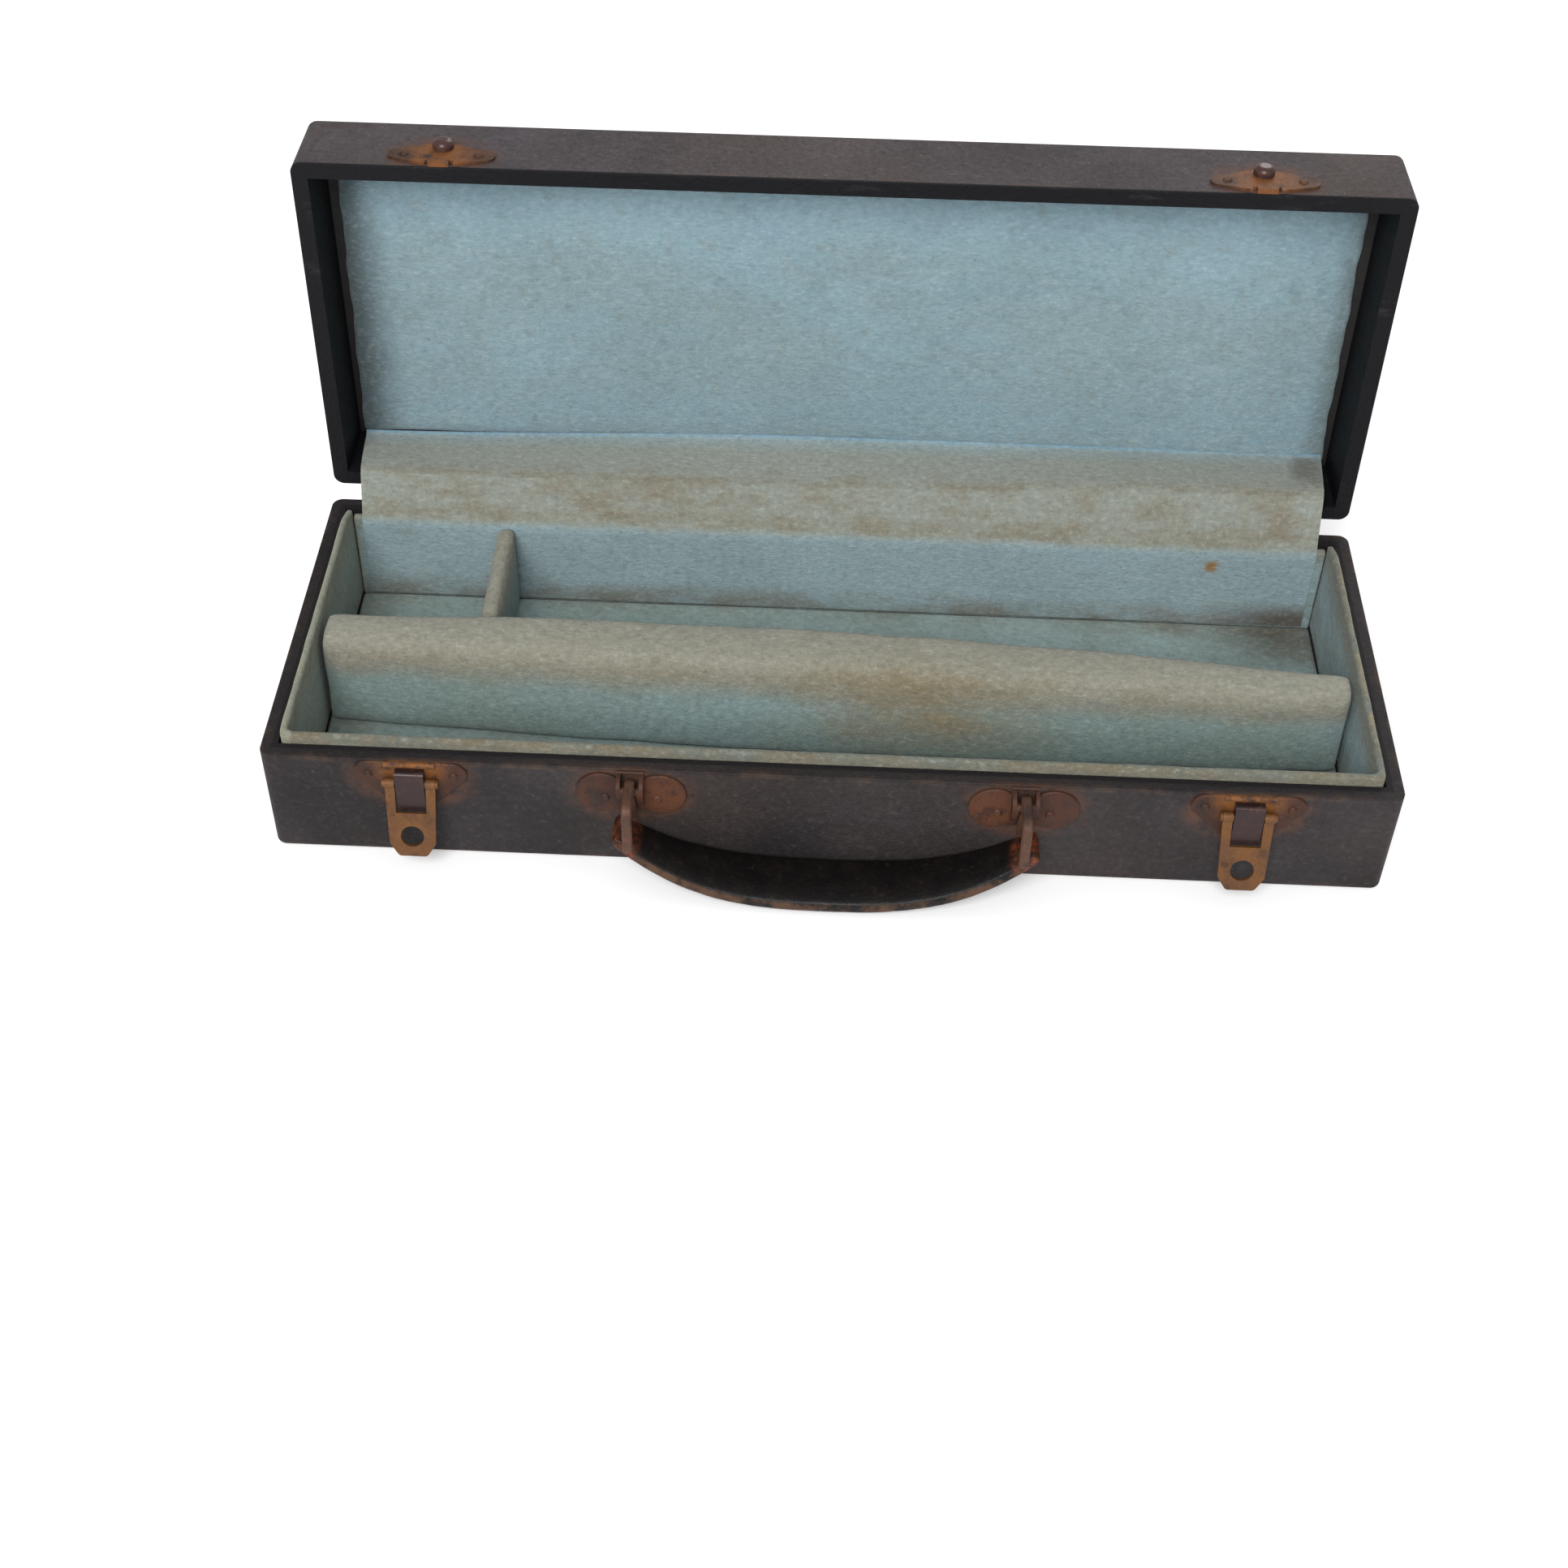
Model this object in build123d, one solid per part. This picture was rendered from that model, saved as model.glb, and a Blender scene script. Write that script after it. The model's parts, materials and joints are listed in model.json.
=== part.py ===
# Clarinet case: a covered wooden box with a padded tray, a hinged lid, two snap hasps and a
# leather handle.  X runs along the case, the front faces -Y and Z is up.  The origin is the
# centre of the underside.  The lid stands open on its cloth check, the hasps hang and the
# handle is down.
from build123d import *
import math
import os

# Box
case_length = 400
case_depth = 142
base_height = 47
lid_height = 33
corner_radius = 4
edge_radius = 1.6
wall_wood = 4.7
panel_wood = 4.2
cover_thickness = 0.8
turn_in_thickness = 0.5
base_turn_in_depth = 10
rim_gap = 0.3

# Lining
lining_thickness = 2.4
back_lining_thickness = 3
lining_gap = 0.4
lip_height = 4.5
lip_run_out = 9
lip_round = 0.9
floor_felt = 2
cloth_thickness = 1
cloth_end_gap = 4
lid_cloth_start = 1.2
lid_pad_thickness = 3.5
lid_pad_gap = 0.6
lid_pad_round = 2.6

# Dividers
divider_thickness = 12
divider_height = 41
divider_centre_y = -10.5
divider_skew = 1.4
divider_end_gap = 1.6
divider_front_round = 8
divider_back_round = 2.4
felt_thickness = 2
pocket_length = 61.2
partition_thickness = 7
partition_height = 37.5
partition_round = 3
partition_gap = 0.8

# Hinges
open_angle = 92
hinge_offset = 4
hinge_inset = 72
hinge_width = 38
leaf_height = 20
leaf_thickness = 1.2
leaf_corner = 3
knuckle_radius = 3.4
knuckle_count = 5
knuckle_gap = 0.3
knuckle_relief = 0.4
hinge_pin_radius = 1.5
hinge_head_radius = 2.3
hinge_head_length = 0.9
hinge_nail_x = 13
hinge_nail_drop = 14.5

# Running fit of every pin
pin_play = 0.05

# Hasps
latch_inset = 53.5
latch_pivot_z = 38.8
latch_pivot_offset = 3.2
plate_thickness = 1.1
plate_bevel = 0.35
ear_radius = 5.2
ear_x = 14.8
ear_rise = 2.7
plate_foot_radius = 2
plate_foot_x = 7.3
plate_foot_drop = 10
bead_length = 18
bead_radius = 1.1
bead_rise = 7.2
block_width = 10.2
block_drop = 11.2
block_rise = 5.3
block_front = 4.3
block_foot_front = 5.4
block_round = 1.5
lever_width = 18
lever_tip_width = 16.4
lever_window = 10.9
lever_window_drop = 11.8
lever_thickness = 1.4
lever_length = 29.3
lever_tip_flat = 10
lever_tip_rise = 5
lever_tip_round = 1.8
lever_hole_drop = 21.2
lever_hole_radius = 4.15
lever_knuckle_radius = 1.85
lever_rest_tilt = 17
latch_pin_radius = 0.95
latch_pin_head_radius = 1.5
latch_pin_head_length = 0.8
latch_nail_x = 15.2
latch_nail_rise = 2.1

# Strikes
strike_centre_radius = 8
strike_centre_rise = 8.4
strike_ear_radius = 3.3
strike_ear_x = 16.1
strike_ear_rise = 7.8
strike_rim_gap = 0.5
strike_tongue_width = 7.3
strike_tongue_height = 2.6
strike_tongue_lift = 1
strike_tongue_bevel = 0.9
strike_notch_width = 1.4
strike_notch_height = 3
stud_radius = 3.8
stud_height = 3.5
stud_round = 2.4
stud_shank_radius = 1.2
stud_shank_length = 4
strike_nail_x = 13.4

# Handle
handle_half_span = 69
handle_pivot_z = 41.3
handle_pivot_offset = 5.1
lobe_x = 10.4
lobe_width = 18.4
lobe_height = 18.8
lobe_drop = 5.6
bridge_width = 10
bridge_rise = 5.2
bridge_drop = 14
bridge_bar_radius = 1.5
bridge_slot_width = 6.6
bridge_slot_rise = 4.4
rib_slot_width = 4.8
rib_width = 9.4
rib_foot_drop = 12.5
rib_top_rise = 4.4
rib_shoulder_drop = 3.6
rib_shoulder_in = 0.9
rib_swing_gap = 2
handle_nail_x = 9.2
handle_nail_drop = 7.6
ring_width = 3.6
ring_wire = 2.2
ring_play = 0.35
ring_length = 23.6
ring_depth = 17.4
ring_bevel = 0.55
strap_play = 0.15
strap_end_reach = 5
strap_end_thickness = 6
strap_mid_thickness = 7
strap_mid_width = 22
strap_ground_gap = 0.6
strap_wall_gap = 1.2
strap_curl = 2.8
strap_edge_round = 2.3
strap_end_round = 2.2
strap_sections = 13

# Nails
nail_head_radius = 1.7
nail_head_height = 0.7
nail_head_bevel = 0.5
nail_shank_radius = 0.7
nail_length = 4.6

# Worked out from the sizes above
half_length = case_length / 2
half_depth = case_depth / 2
wall_thickness = cover_thickness + wall_wood + turn_in_thickness
cavity_x = half_length - wall_thickness
cavity_y = half_depth - wall_thickness
floor_bottom = cover_thickness + panel_wood
floor_top = floor_bottom + floor_felt
lining_outer_x = cavity_x - lining_gap
lining_outer_y = cavity_y - lining_gap
tray_x = lining_outer_x - lining_thickness
tray_front_y = -lining_outer_y + lining_thickness
back_board_y = lining_outer_y - back_lining_thickness
tray_back_y = back_board_y - cloth_thickness
lip_top = base_height + lip_height
rim_z = base_height + rim_gap
lid_top = rim_z + lid_height
hinge_y = half_depth + hinge_offset
hinge_z = base_height + rim_gap / 2
cloth_half = tray_x - cloth_end_gap
partition_x = pocket_length - tray_x
hinge_x = half_length - hinge_inset
latch_x = half_length - latch_inset
latch_pin_y = -half_depth - latch_pivot_offset
handle_pivot_y = -half_depth - handle_pivot_offset
ring_inner_corner = bridge_bar_radius + ring_play
ring_outer_corner = ring_inner_corner + ring_wire
ring_centre_y = handle_pivot_y + ring_outer_corner - ring_depth / 2
ring_centre_z = handle_pivot_z + ring_outer_corner - ring_length / 2
ring_limb_z = ring_centre_z - (ring_length - ring_wire) / 2
strap_end_width = ring_depth - 2 * ring_wire - 2 * strap_play
strap_mid_y = -half_depth - strap_wall_gap - strap_mid_width / 2
strap_mid_z = strap_ground_gap + strap_mid_thickness / 2
stud_z = latch_pivot_z + lever_hole_drop
sides = {"left": -1, "right": 1}


def block(x0, x1, y0, y1, z0, z1):
    """A plain box between three pairs of faces."""
    size = (x1 - x0, y1 - y0, z1 - z0)
    return Pos((x0 + x1) / 2, (y0 + y1) / 2, (z0 + z1) / 2) * Box(*size)


def rounded_shell(inset, z0, z1, round_bottom, round_top):
    """The case outline moved in by inset, with its long edges rounded at one end."""
    outline = RectangleRounded(case_length - 2 * inset, case_depth - 2 * inset, corner_radius - inset)
    solid = Pos(0, 0, z0) * extrude(outline, z1 - z0)
    if round_bottom:
        solid = fillet(solid.faces().sort_by(Axis.Z)[0].edges(), round_bottom)
    if round_top:
        solid = fillet(solid.faces().sort_by(Axis.Z)[-1].edges(), round_top)
    return solid


def x_rod(x0, x1, y, z, radius):
    """A round bar along X."""
    return Pos((x0 + x1) / 2, y, z) * Rot(0, 90, 0) * Cylinder(radius, x1 - x0)


def front_sheet(outline, x, z, offset, thickness):
    """A flat outline standing on the front wall, its back face at offset from the wall."""
    plane = Plane(origin=(x, -half_depth - offset, z), x_dir=(1, 0, 0), z_dir=(0, -1, 0))
    return plane * extrude(outline, thickness)


def bevelled_plate(outline, x, z):
    """A pressed plate on the front wall, its outer edge bevelled."""
    plate = front_sheet(outline, x, z, 0, plate_thickness)
    return chamfer(plate.faces().sort_by(Axis.Y)[0].edges(), plate_bevel)


def wall_cavity(z0, z1, depth):
    """The space inside the walls, as far out as their bare wood."""
    x = cavity_x + depth
    y = cavity_y + depth
    return block(-x, x, -y, y, z0, z1)


def wooden_box(envelope, panel_band, wall_band, prefix, panel_name):
    """Cuts one rounded envelope into a panel and four butt-jointed walls."""
    inner_x = cavity_x + turn_in_thickness
    inner_y = cavity_y + turn_in_thickness
    z0, z1 = wall_band
    far = case_length
    cuts = {
        panel_name: block(-far, far, -far, far, *panel_band),
        prefix + "_front_wall": block(-far, far, -far, -inner_y, z0, z1),
        prefix + "_back_wall": block(-far, far, inner_y, far, z0, z1),
        prefix + "_left_wall": block(-far, -inner_x, -inner_y, inner_y, z0, z1),
        prefix + "_right_wall": block(inner_x, far, -inner_y, inner_y, z0, z1),
    }
    return {name: envelope & cut for name, cut in cuts.items()}


def base_box():
    """Bottom board, walls and their covering."""
    wood_top = base_height - cover_thickness
    wood_round = edge_radius - cover_thickness
    outer = rounded_shell(0, 0, base_height, edge_radius, cover_thickness / 2)
    wood = rounded_shell(cover_thickness, cover_thickness, wood_top, wood_round, 0)
    found = wooden_box(wood, (0, floor_bottom), (floor_bottom, wood_top), "base", "base_bottom_board")
    turn_in_bottom = base_height - base_turn_in_depth
    skin = outer - block(-case_length, case_length, -case_length, case_length, -1, cover_thickness)
    skin -= wall_cavity(floor_bottom, base_height + 1, 0)
    skin -= wall_cavity(floor_bottom, turn_in_bottom, turn_in_thickness)
    for piece in found.values():
        skin -= piece
    found["base_covering"] = skin
    far = case_length
    found["bottom_covering"] = outer & block(-far, far, -far, far, 0, cover_thickness)
    return found


def lid_box():
    """Lid panel, walls and their covering, drawn shut."""
    wood_top = lid_top - cover_thickness
    panel_bottom = wood_top - panel_wood
    wood_bottom = rim_z + cover_thickness
    wood_round = edge_radius - cover_thickness
    outer = rounded_shell(0, rim_z, lid_top, cover_thickness / 2, edge_radius)
    wood = rounded_shell(cover_thickness, wood_bottom, wood_top, 0, wood_round)
    found = wooden_box(wood, (panel_bottom, lid_top), (wood_bottom, panel_bottom), "lid", "lid_panel")
    skin = outer - wall_cavity(rim_z - 1, panel_bottom, 0)
    for piece in found.values():
        skin -= piece
    found["lid_covering"] = skin
    pad_x = cavity_x - lid_pad_gap
    pad_y = cavity_y - lid_pad_gap
    pad = block(-pad_x, pad_x, -pad_y, pad_y, panel_bottom - lid_pad_thickness, panel_bottom)
    found["lid_lining_pad"] = fillet(pad.faces().sort_by(Axis.Z)[0].edges(), lid_pad_round)
    return found


def lining_boards():
    """Felt-covered boards that stand proud of the rim at the front and the ends."""
    front = block(-lining_outer_x, lining_outer_x, -lining_outer_y, tray_front_y, floor_bottom, lip_top)
    upright = front.edges().filter_by(Axis.Z)
    front = fillet(upright.group_by(Axis.Y)[0], lining_thickness - lip_round)
    front = fillet(front.faces().sort_by(Axis.Z)[-1].edges(), lip_round)
    slope = make_face(Polyline(
        (0, tray_back_y - lip_run_out, lip_top),
        (0, tray_back_y, base_height),
        (0, half_depth, base_height),
        (0, half_depth, lip_top + 1),
        (0, tray_back_y - lip_run_out, lip_top + 1),
        (0, tray_back_y - lip_run_out, lip_top),
    ))
    run_out = extrude(slope, half_length, dir=(1, 0, 0), both=True)
    found = {"front_lining_board": front}
    for side, sign in sides.items():
        x0, x1 = sorted((sign * tray_x, sign * lining_outer_x))
        board = block(x0, x1, tray_front_y, lining_outer_y, floor_bottom, lip_top) - run_out
        top = board.faces().sort_by(Axis.Z)[-1]
        board = fillet(top.edges().filter_by(Axis.Y), lip_round)
        found[side + "_lining_board"] = board
    back_top = base_height - cloth_thickness - rim_gap
    found["back_lining_board"] = block(-tray_x, tray_x, back_board_y, lining_outer_y, floor_bottom, back_top)
    found["floor_felt"] = block(-tray_x, tray_x, tray_front_y, back_board_y, floor_bottom, floor_top)
    return found


def hinge_cloths():
    """The cloth that checks the lid: its glued run in the base and its glued run in the lid."""
    back_top = base_height - cloth_thickness - rim_gap
    run = block(-cloth_half, cloth_half, tray_back_y, back_board_y, floor_top, back_top)
    fold = block(-cloth_half, cloth_half, tray_back_y, lining_outer_y, back_top, back_top + cloth_thickness)
    fold = fillet(fold.edges().filter_by(Axis.X).group_by(Axis.Y)[0].sort_by(Axis.Z)[-1], cloth_thickness / 2)
    pad_bottom = lid_top - cover_thickness - panel_wood - lid_pad_thickness
    lid_run = block(
        -cloth_half, cloth_half, cavity_y - cloth_thickness, cavity_y, rim_z + lid_cloth_start, pad_bottom
    )
    return {"base_hinge_cloth": run + fold, "lid_hinge_cloth": lid_run}


def divider():
    """The long padded divider: a wooden core inside a felt cover, standing slightly askew."""
    half = divider_thickness / 2
    length = 2 * (tray_x - divider_end_gap)
    top = floor_top + divider_height
    cover = block(-length / 2, length / 2, -half, half, floor_top, top)
    ridges = cover.edges().filter_by(Axis.X).group_by(Axis.Z)[-1].sort_by(Axis.Y)
    cover = fillet(ridges[0], divider_front_round)
    ridges = cover.edges().filter_by(Axis.X).group_by(Axis.Z)[-1].sort_by(Axis.Y)
    cover = fillet(ridges[-1], divider_back_round)
    core_round = divider_front_round - felt_thickness
    core = block(
        felt_thickness - length / 2,
        length / 2 - felt_thickness,
        felt_thickness - half,
        half - felt_thickness,
        floor_top,
        top - felt_thickness,
    )
    ridges = core.edges().filter_by(Axis.X).group_by(Axis.Z)[-1].sort_by(Axis.Y)
    core = fillet(ridges[0], core_round)
    place = Pos(0, divider_centre_y, 0) * Rot(0, 0, -divider_skew)
    return {"divider_cover": place * (cover - core), "divider_core": place * core}


def cross_partition():
    """The short padded partition that shuts off the left pocket behind the divider."""
    skew = math.tan(math.radians(divider_skew))
    divider_back = divider_centre_y + divider_thickness / 2 - (partition_x - partition_thickness) * skew
    x0 = partition_x - partition_thickness / 2
    x1 = partition_x + partition_thickness / 2
    top = floor_top + partition_height
    pad = block(x0, x1, divider_back + partition_gap, tray_back_y, floor_top, top)
    ridges = pad.edges().filter_by(Axis.Y).group_by(Axis.Z)[-1]
    return {"cross_partition": fillet(ridges, partition_round)}


def hinge_leaf(x, up, own, bore):
    """One leaf of an outside butt hinge, with its knuckles and their bore."""
    sign = 1 if up else -1
    root = knuckle_radius + knuckle_relief
    outline = Pos(0, sign * (root + leaf_height) / 2) * Rectangle(hinge_width, leaf_height - root)
    far = outline.vertices().sort_by(Axis.Y)[-2:] if up else outline.vertices().sort_by(Axis.Y)[:2]
    outline = fillet(far, leaf_corner)
    plane = Plane(origin=(x, half_depth, hinge_z), x_dir=(-1, 0, 0), z_dir=(0, 1, 0))
    leaf = plane * extrude(outline, leaf_thickness)
    pitch = (hinge_width + knuckle_gap) / knuckle_count
    for index in own:
        x0 = x - hinge_width / 2 + index * pitch
        x1 = x0 + pitch - knuckle_gap
        low, high = sorted((hinge_z, hinge_z + sign * root))
        leaf += block(x0, x1, half_depth, half_depth + leaf_thickness, low, high)
        leaf += x_rod(x0, x1, hinge_y, hinge_z, knuckle_radius)
    return leaf - x_rod(x - hinge_width, x + hinge_width, hinge_y, hinge_z, bore)


def hinge_pin(x):
    """A hinge pin, pressed into the base leaf and headed at both ends."""
    half = hinge_width / 2
    pin = x_rod(x - half, x + half, hinge_y, hinge_z, hinge_pin_radius)
    for sign in (-1, 1):
        x0, x1 = sorted((x + sign * half, x + sign * (half + hinge_head_length)))
        pin += x_rod(x0, x1, hinge_y, hinge_z, hinge_head_radius)
    return pin


def latch_plate(x):
    """The eared plate of a hasp, with a rolled bead along its top edge."""
    outline = Sketch()
    for sign in (-1, 1):
        outline += Pos(sign * ear_x, ear_rise) * Circle(ear_radius)
        outline += Pos(sign * plate_foot_x, -plate_foot_drop) * Circle(plate_foot_radius)
    outline = make_hull(outline.edges())
    plate = bevelled_plate(outline, x, latch_pivot_z)
    half = bead_length / 2
    bead_z = latch_pivot_z + bead_rise
    bead = x_rod(x - half, x + half, -half_depth - bead_radius, bead_z, bead_radius)
    return plate + bead


def latch_block(x):
    """The wedge-shaped block of a hasp, which holds the pin and fills the lever's window."""
    half = block_width / 2
    back = -half_depth - plate_thickness
    z0 = latch_pivot_z - block_drop
    z1 = latch_pivot_z + block_rise
    side = Polyline(
        (x - half, back, z0),
        (x - half, -half_depth - block_foot_front, z0),
        (x - half, -half_depth - block_front, z1),
        (x - half, back, z1),
        close=True,
    )
    body = extrude(make_face(side.edges()), block_width, dir=(1, 0, 0))
    nose = body.edges().filter_by(Axis.X).group_by(Axis.Z)[-1].sort_by(Axis.Y)[0]
    body = fillet(nose, block_round)
    return body - x_rod(x - half - 1, x + half + 1, latch_pin_y, latch_pivot_z, latch_pin_radius)


def latch_lever(x):
    """The hasp's lever: two arms on the pin, a cross-bar and a holed finger tab."""
    half = lever_width / 2
    shoulder = lever_tip_width / 2
    tip = lever_tip_flat / 2
    outline = Polygon(
        (-half, 0),
        (-shoulder, lever_tip_rise - lever_length),
        (-tip, -lever_length),
        (tip, -lever_length),
        (shoulder, lever_tip_rise - lever_length),
        (half, 0),
        align=None,
    )
    outline = fillet(outline.vertices().sort_by(Axis.Y)[:4], lever_tip_round)
    window = Pos(0, -lever_window_drop / 2) * Rectangle(lever_window, lever_window_drop)
    outline -= window
    outline -= Pos(0, -lever_hole_drop) * Circle(lever_hole_radius)
    sheet_offset = latch_pivot_offset - lever_thickness / 2
    lever = front_sheet(outline, x, latch_pivot_z, sheet_offset, lever_thickness)
    for sign in (-1, 1):
        x0, x1 = sorted((x + sign * lever_window / 2, x + sign * half))
        lever += x_rod(x0, x1, latch_pin_y, latch_pivot_z, lever_knuckle_radius)
    bore = latch_pin_radius + pin_play
    lever -= x_rod(x - lever_width, x + lever_width, latch_pin_y, latch_pivot_z, bore)
    return lever.rotate(Axis((x, latch_pin_y, latch_pivot_z), (1, 0, 0)), -lever_rest_tilt)


def latch_pin(x):
    """A hasp pin, pressed through the block and headed outside the arms."""
    half = lever_width / 2 + pin_play
    pin = x_rod(x - half, x + half, latch_pin_y, latch_pivot_z, latch_pin_radius)
    for sign in (-1, 1):
        x0, x1 = sorted((x + sign * half, x + sign * (half + latch_pin_head_length)))
        pin += x_rod(x0, x1, latch_pin_y, latch_pivot_z, latch_pin_head_radius)
    return pin


def strike_plate(x):
    """The eye-shaped strike on the lid, with a tongue raised at the rim between two notches."""
    outline = Pos(0, strike_centre_rise) * Circle(strike_centre_radius)
    for sign in (-1, 1):
        outline += Pos(sign * strike_ear_x, strike_ear_rise) * Circle(strike_ear_radius)
    outline = make_hull(outline.edges())
    far = strike_centre_radius * 4
    outline -= Pos(0, strike_rim_gap - far / 2) * Rectangle(far, far)
    notch_x = (strike_tongue_width + strike_notch_width) / 2
    for sign in (-1, 1):
        notch = Rectangle(strike_notch_width, strike_notch_height)
        outline -= Pos(sign * notch_x, strike_rim_gap + strike_notch_height / 2) * notch
    plate = front_sheet(outline, x, rim_z, 0, plate_thickness)
    half = strike_tongue_width / 2
    outer = -half_depth - plate_thickness - strike_tongue_lift
    z0 = rim_z + strike_rim_gap
    tongue = block(x - half, x + half, outer, -half_depth, z0, z0 + strike_tongue_height)
    ridge = tongue.edges().filter_by(Axis.X).group_by(Axis.Y)[0].sort_by(Axis.Z)[-1]
    return plate + chamfer(ridge, strike_tongue_bevel)


def strike_stud(x):
    """The domed stud that the lever's hole snaps over."""
    stud = Pos(0, 0, stud_height / 2) * Cylinder(stud_radius, stud_height)
    stud = fillet(stud.edges().sort_by(Axis.Z)[-1], stud_round)
    stud += Pos(0, 0, -stud_shank_length / 2) * Cylinder(stud_shank_radius, stud_shank_length)
    return Plane(origin=(x, -half_depth - plate_thickness, stud_z), z_dir=(0, -1, 0)) * stud


def handle_plate(x):
    """A two-lobed plate with a raised bar between two ribs, slotted for the handle ring."""
    outline = Pos(0, (bridge_rise - bridge_drop) / 2) * Rectangle(bridge_width, bridge_rise + bridge_drop)
    for sign in (-1, 1):
        outline += Pos(sign * lobe_x, -lobe_drop) * Ellipse(lobe_width / 2, lobe_height / 2)
    plate = bevelled_plate(outline, x, handle_pivot_z)
    y0 = -half_depth - plate_thickness / 2
    crest = handle_pivot_y - bridge_bar_radius
    foot = handle_pivot_z - rib_foot_drop
    head = handle_pivot_z + rib_top_rise
    shoulder = (0, crest + rib_shoulder_in, handle_pivot_z - rib_shoulder_drop)
    bulge = Spline((0, y0, head), (0, crest, handle_pivot_z), shoulder, (0, y0, foot))
    profile = make_face(bulge.edges() + Line((0, y0, foot), (0, y0, head)).edges())
    half = rib_width / 2
    plate += Pos(x, 0, 0) * extrude(profile, half, dir=(1, 0, 0), both=True)
    slot = rib_slot_width / 2
    wide = bridge_slot_width / 2
    front = crest - rib_swing_gap
    mouth = handle_pivot_z - 2 * bridge_drop
    plate -= block(x - slot, x + slot, front, -half_depth + 1, mouth, handle_pivot_z + bridge_bar_radius)
    slot_top = handle_pivot_z + bridge_slot_rise
    plate -= block(x - wide, x + wide, front, -half_depth + 1, handle_pivot_z, slot_top)
    return plate + x_rod(x - half, x + half, handle_pivot_y, handle_pivot_z, bridge_bar_radius)


def ring_profile(x, play, width):
    """The ring's outline thickened by play, as a plain solid of the given width."""
    opening = RectangleRounded(
        ring_depth - 2 * ring_wire - 2 * play,
        ring_length - 2 * ring_wire - 2 * play,
        ring_inner_corner - play,
    )
    outline = RectangleRounded(ring_depth + 2 * play, ring_length + 2 * play, ring_outer_corner + play)
    plane = Plane(origin=(x, ring_centre_y, ring_centre_z), x_dir=(0, 1, 0), z_dir=(1, 0, 0))
    return plane * extrude(outline - opening, width / 2, both=True)


def handle_ring(x):
    """A long flat ring that turns on the plate's bar and carries one end of the handle."""
    ring = ring_profile(x, 0, ring_width)
    flanks = ring.faces().sort_by(Axis.X)
    return chamfer(flanks[0].edges() + flanks[-1].edges(), ring_bevel)


def strap_section(x):
    """One cross-section of the handle, square to its sagging line."""
    reach = handle_half_span + strap_end_reach
    sag = ring_limb_z - strap_mid_z
    fullness = 1 - (abs(x) / reach) ** strap_curl
    width = strap_end_width + (strap_mid_width - strap_end_width) * fullness
    thickness = strap_end_thickness + (strap_mid_thickness - strap_end_thickness) * fullness
    y = ring_centre_y + (strap_mid_y - ring_centre_y) * fullness
    z = strap_mid_z + sag * (abs(x) / handle_half_span) ** strap_curl
    slope = strap_curl * sag / handle_half_span * (abs(x) / handle_half_span) ** (strap_curl - 1)
    plane = Plane(origin=(x, y, z), x_dir=(0, 1, 0), z_dir=(1, 0, math.copysign(slope, x)))
    return plane * RectangleRounded(width, thickness, strap_edge_round)


def handle_strap():
    """The padded leather handle: it hangs in a curve and is folded round a ring at each end."""
    reach = handle_half_span + strap_end_reach
    step = 2 * reach / (strap_sections - 1)
    strap = loft([strap_section(index * step - reach) for index in range(strap_sections)])
    ends = strap.faces().sort_by(Axis.X)
    strap = fillet(ends[0].edges() + ends[-1].edges(), strap_end_round)
    for sign in (-1, 1):
        strap -= ring_profile(sign * handle_half_span, strap_play, ring_width + 2 * strap_play)
    return strap


def nail(x, y, z, out):
    """A small nail with a bevelled head, which stands on the point given and faces out."""
    head = Pos(0, 0, nail_head_height / 2) * Cylinder(nail_head_radius, nail_head_height)
    head = chamfer(head.edges().sort_by(Axis.Z)[-1], nail_head_bevel)
    shank = Pos(0, 0, -nail_length / 2) * Cylinder(nail_shank_radius, nail_length)
    return Plane(origin=(x, y, z), z_dir=out) * (head + shank)


def group(solids):
    """Several like solids as one node."""
    return Compound(children=[s.solid() if isinstance(s, Part) else s for s in solids])


def open_lid(shape):
    """Swings a piece of the lid from shut to where the cloth stops it."""
    return shape.rotate(Axis((0, hinge_y, hinge_z), (1, 0, 0)), -open_angle)


def nails_on_front(centre_x, reach, z):
    """A pair of nails either side of a front plate's centre."""
    y = -half_depth - plate_thickness
    return [nail(centre_x + sign * reach, y, z, (0, -1, 0)) for sign in (-1, 1)]


def drive(pieces, name, nails, through):
    """Adds a group of nails and cuts its holes in the pieces that it passes through."""
    for target in through:
        for one in nails:
            pieces[target] = pieces[target] - one
    pieces[name] = group(nails)


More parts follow.
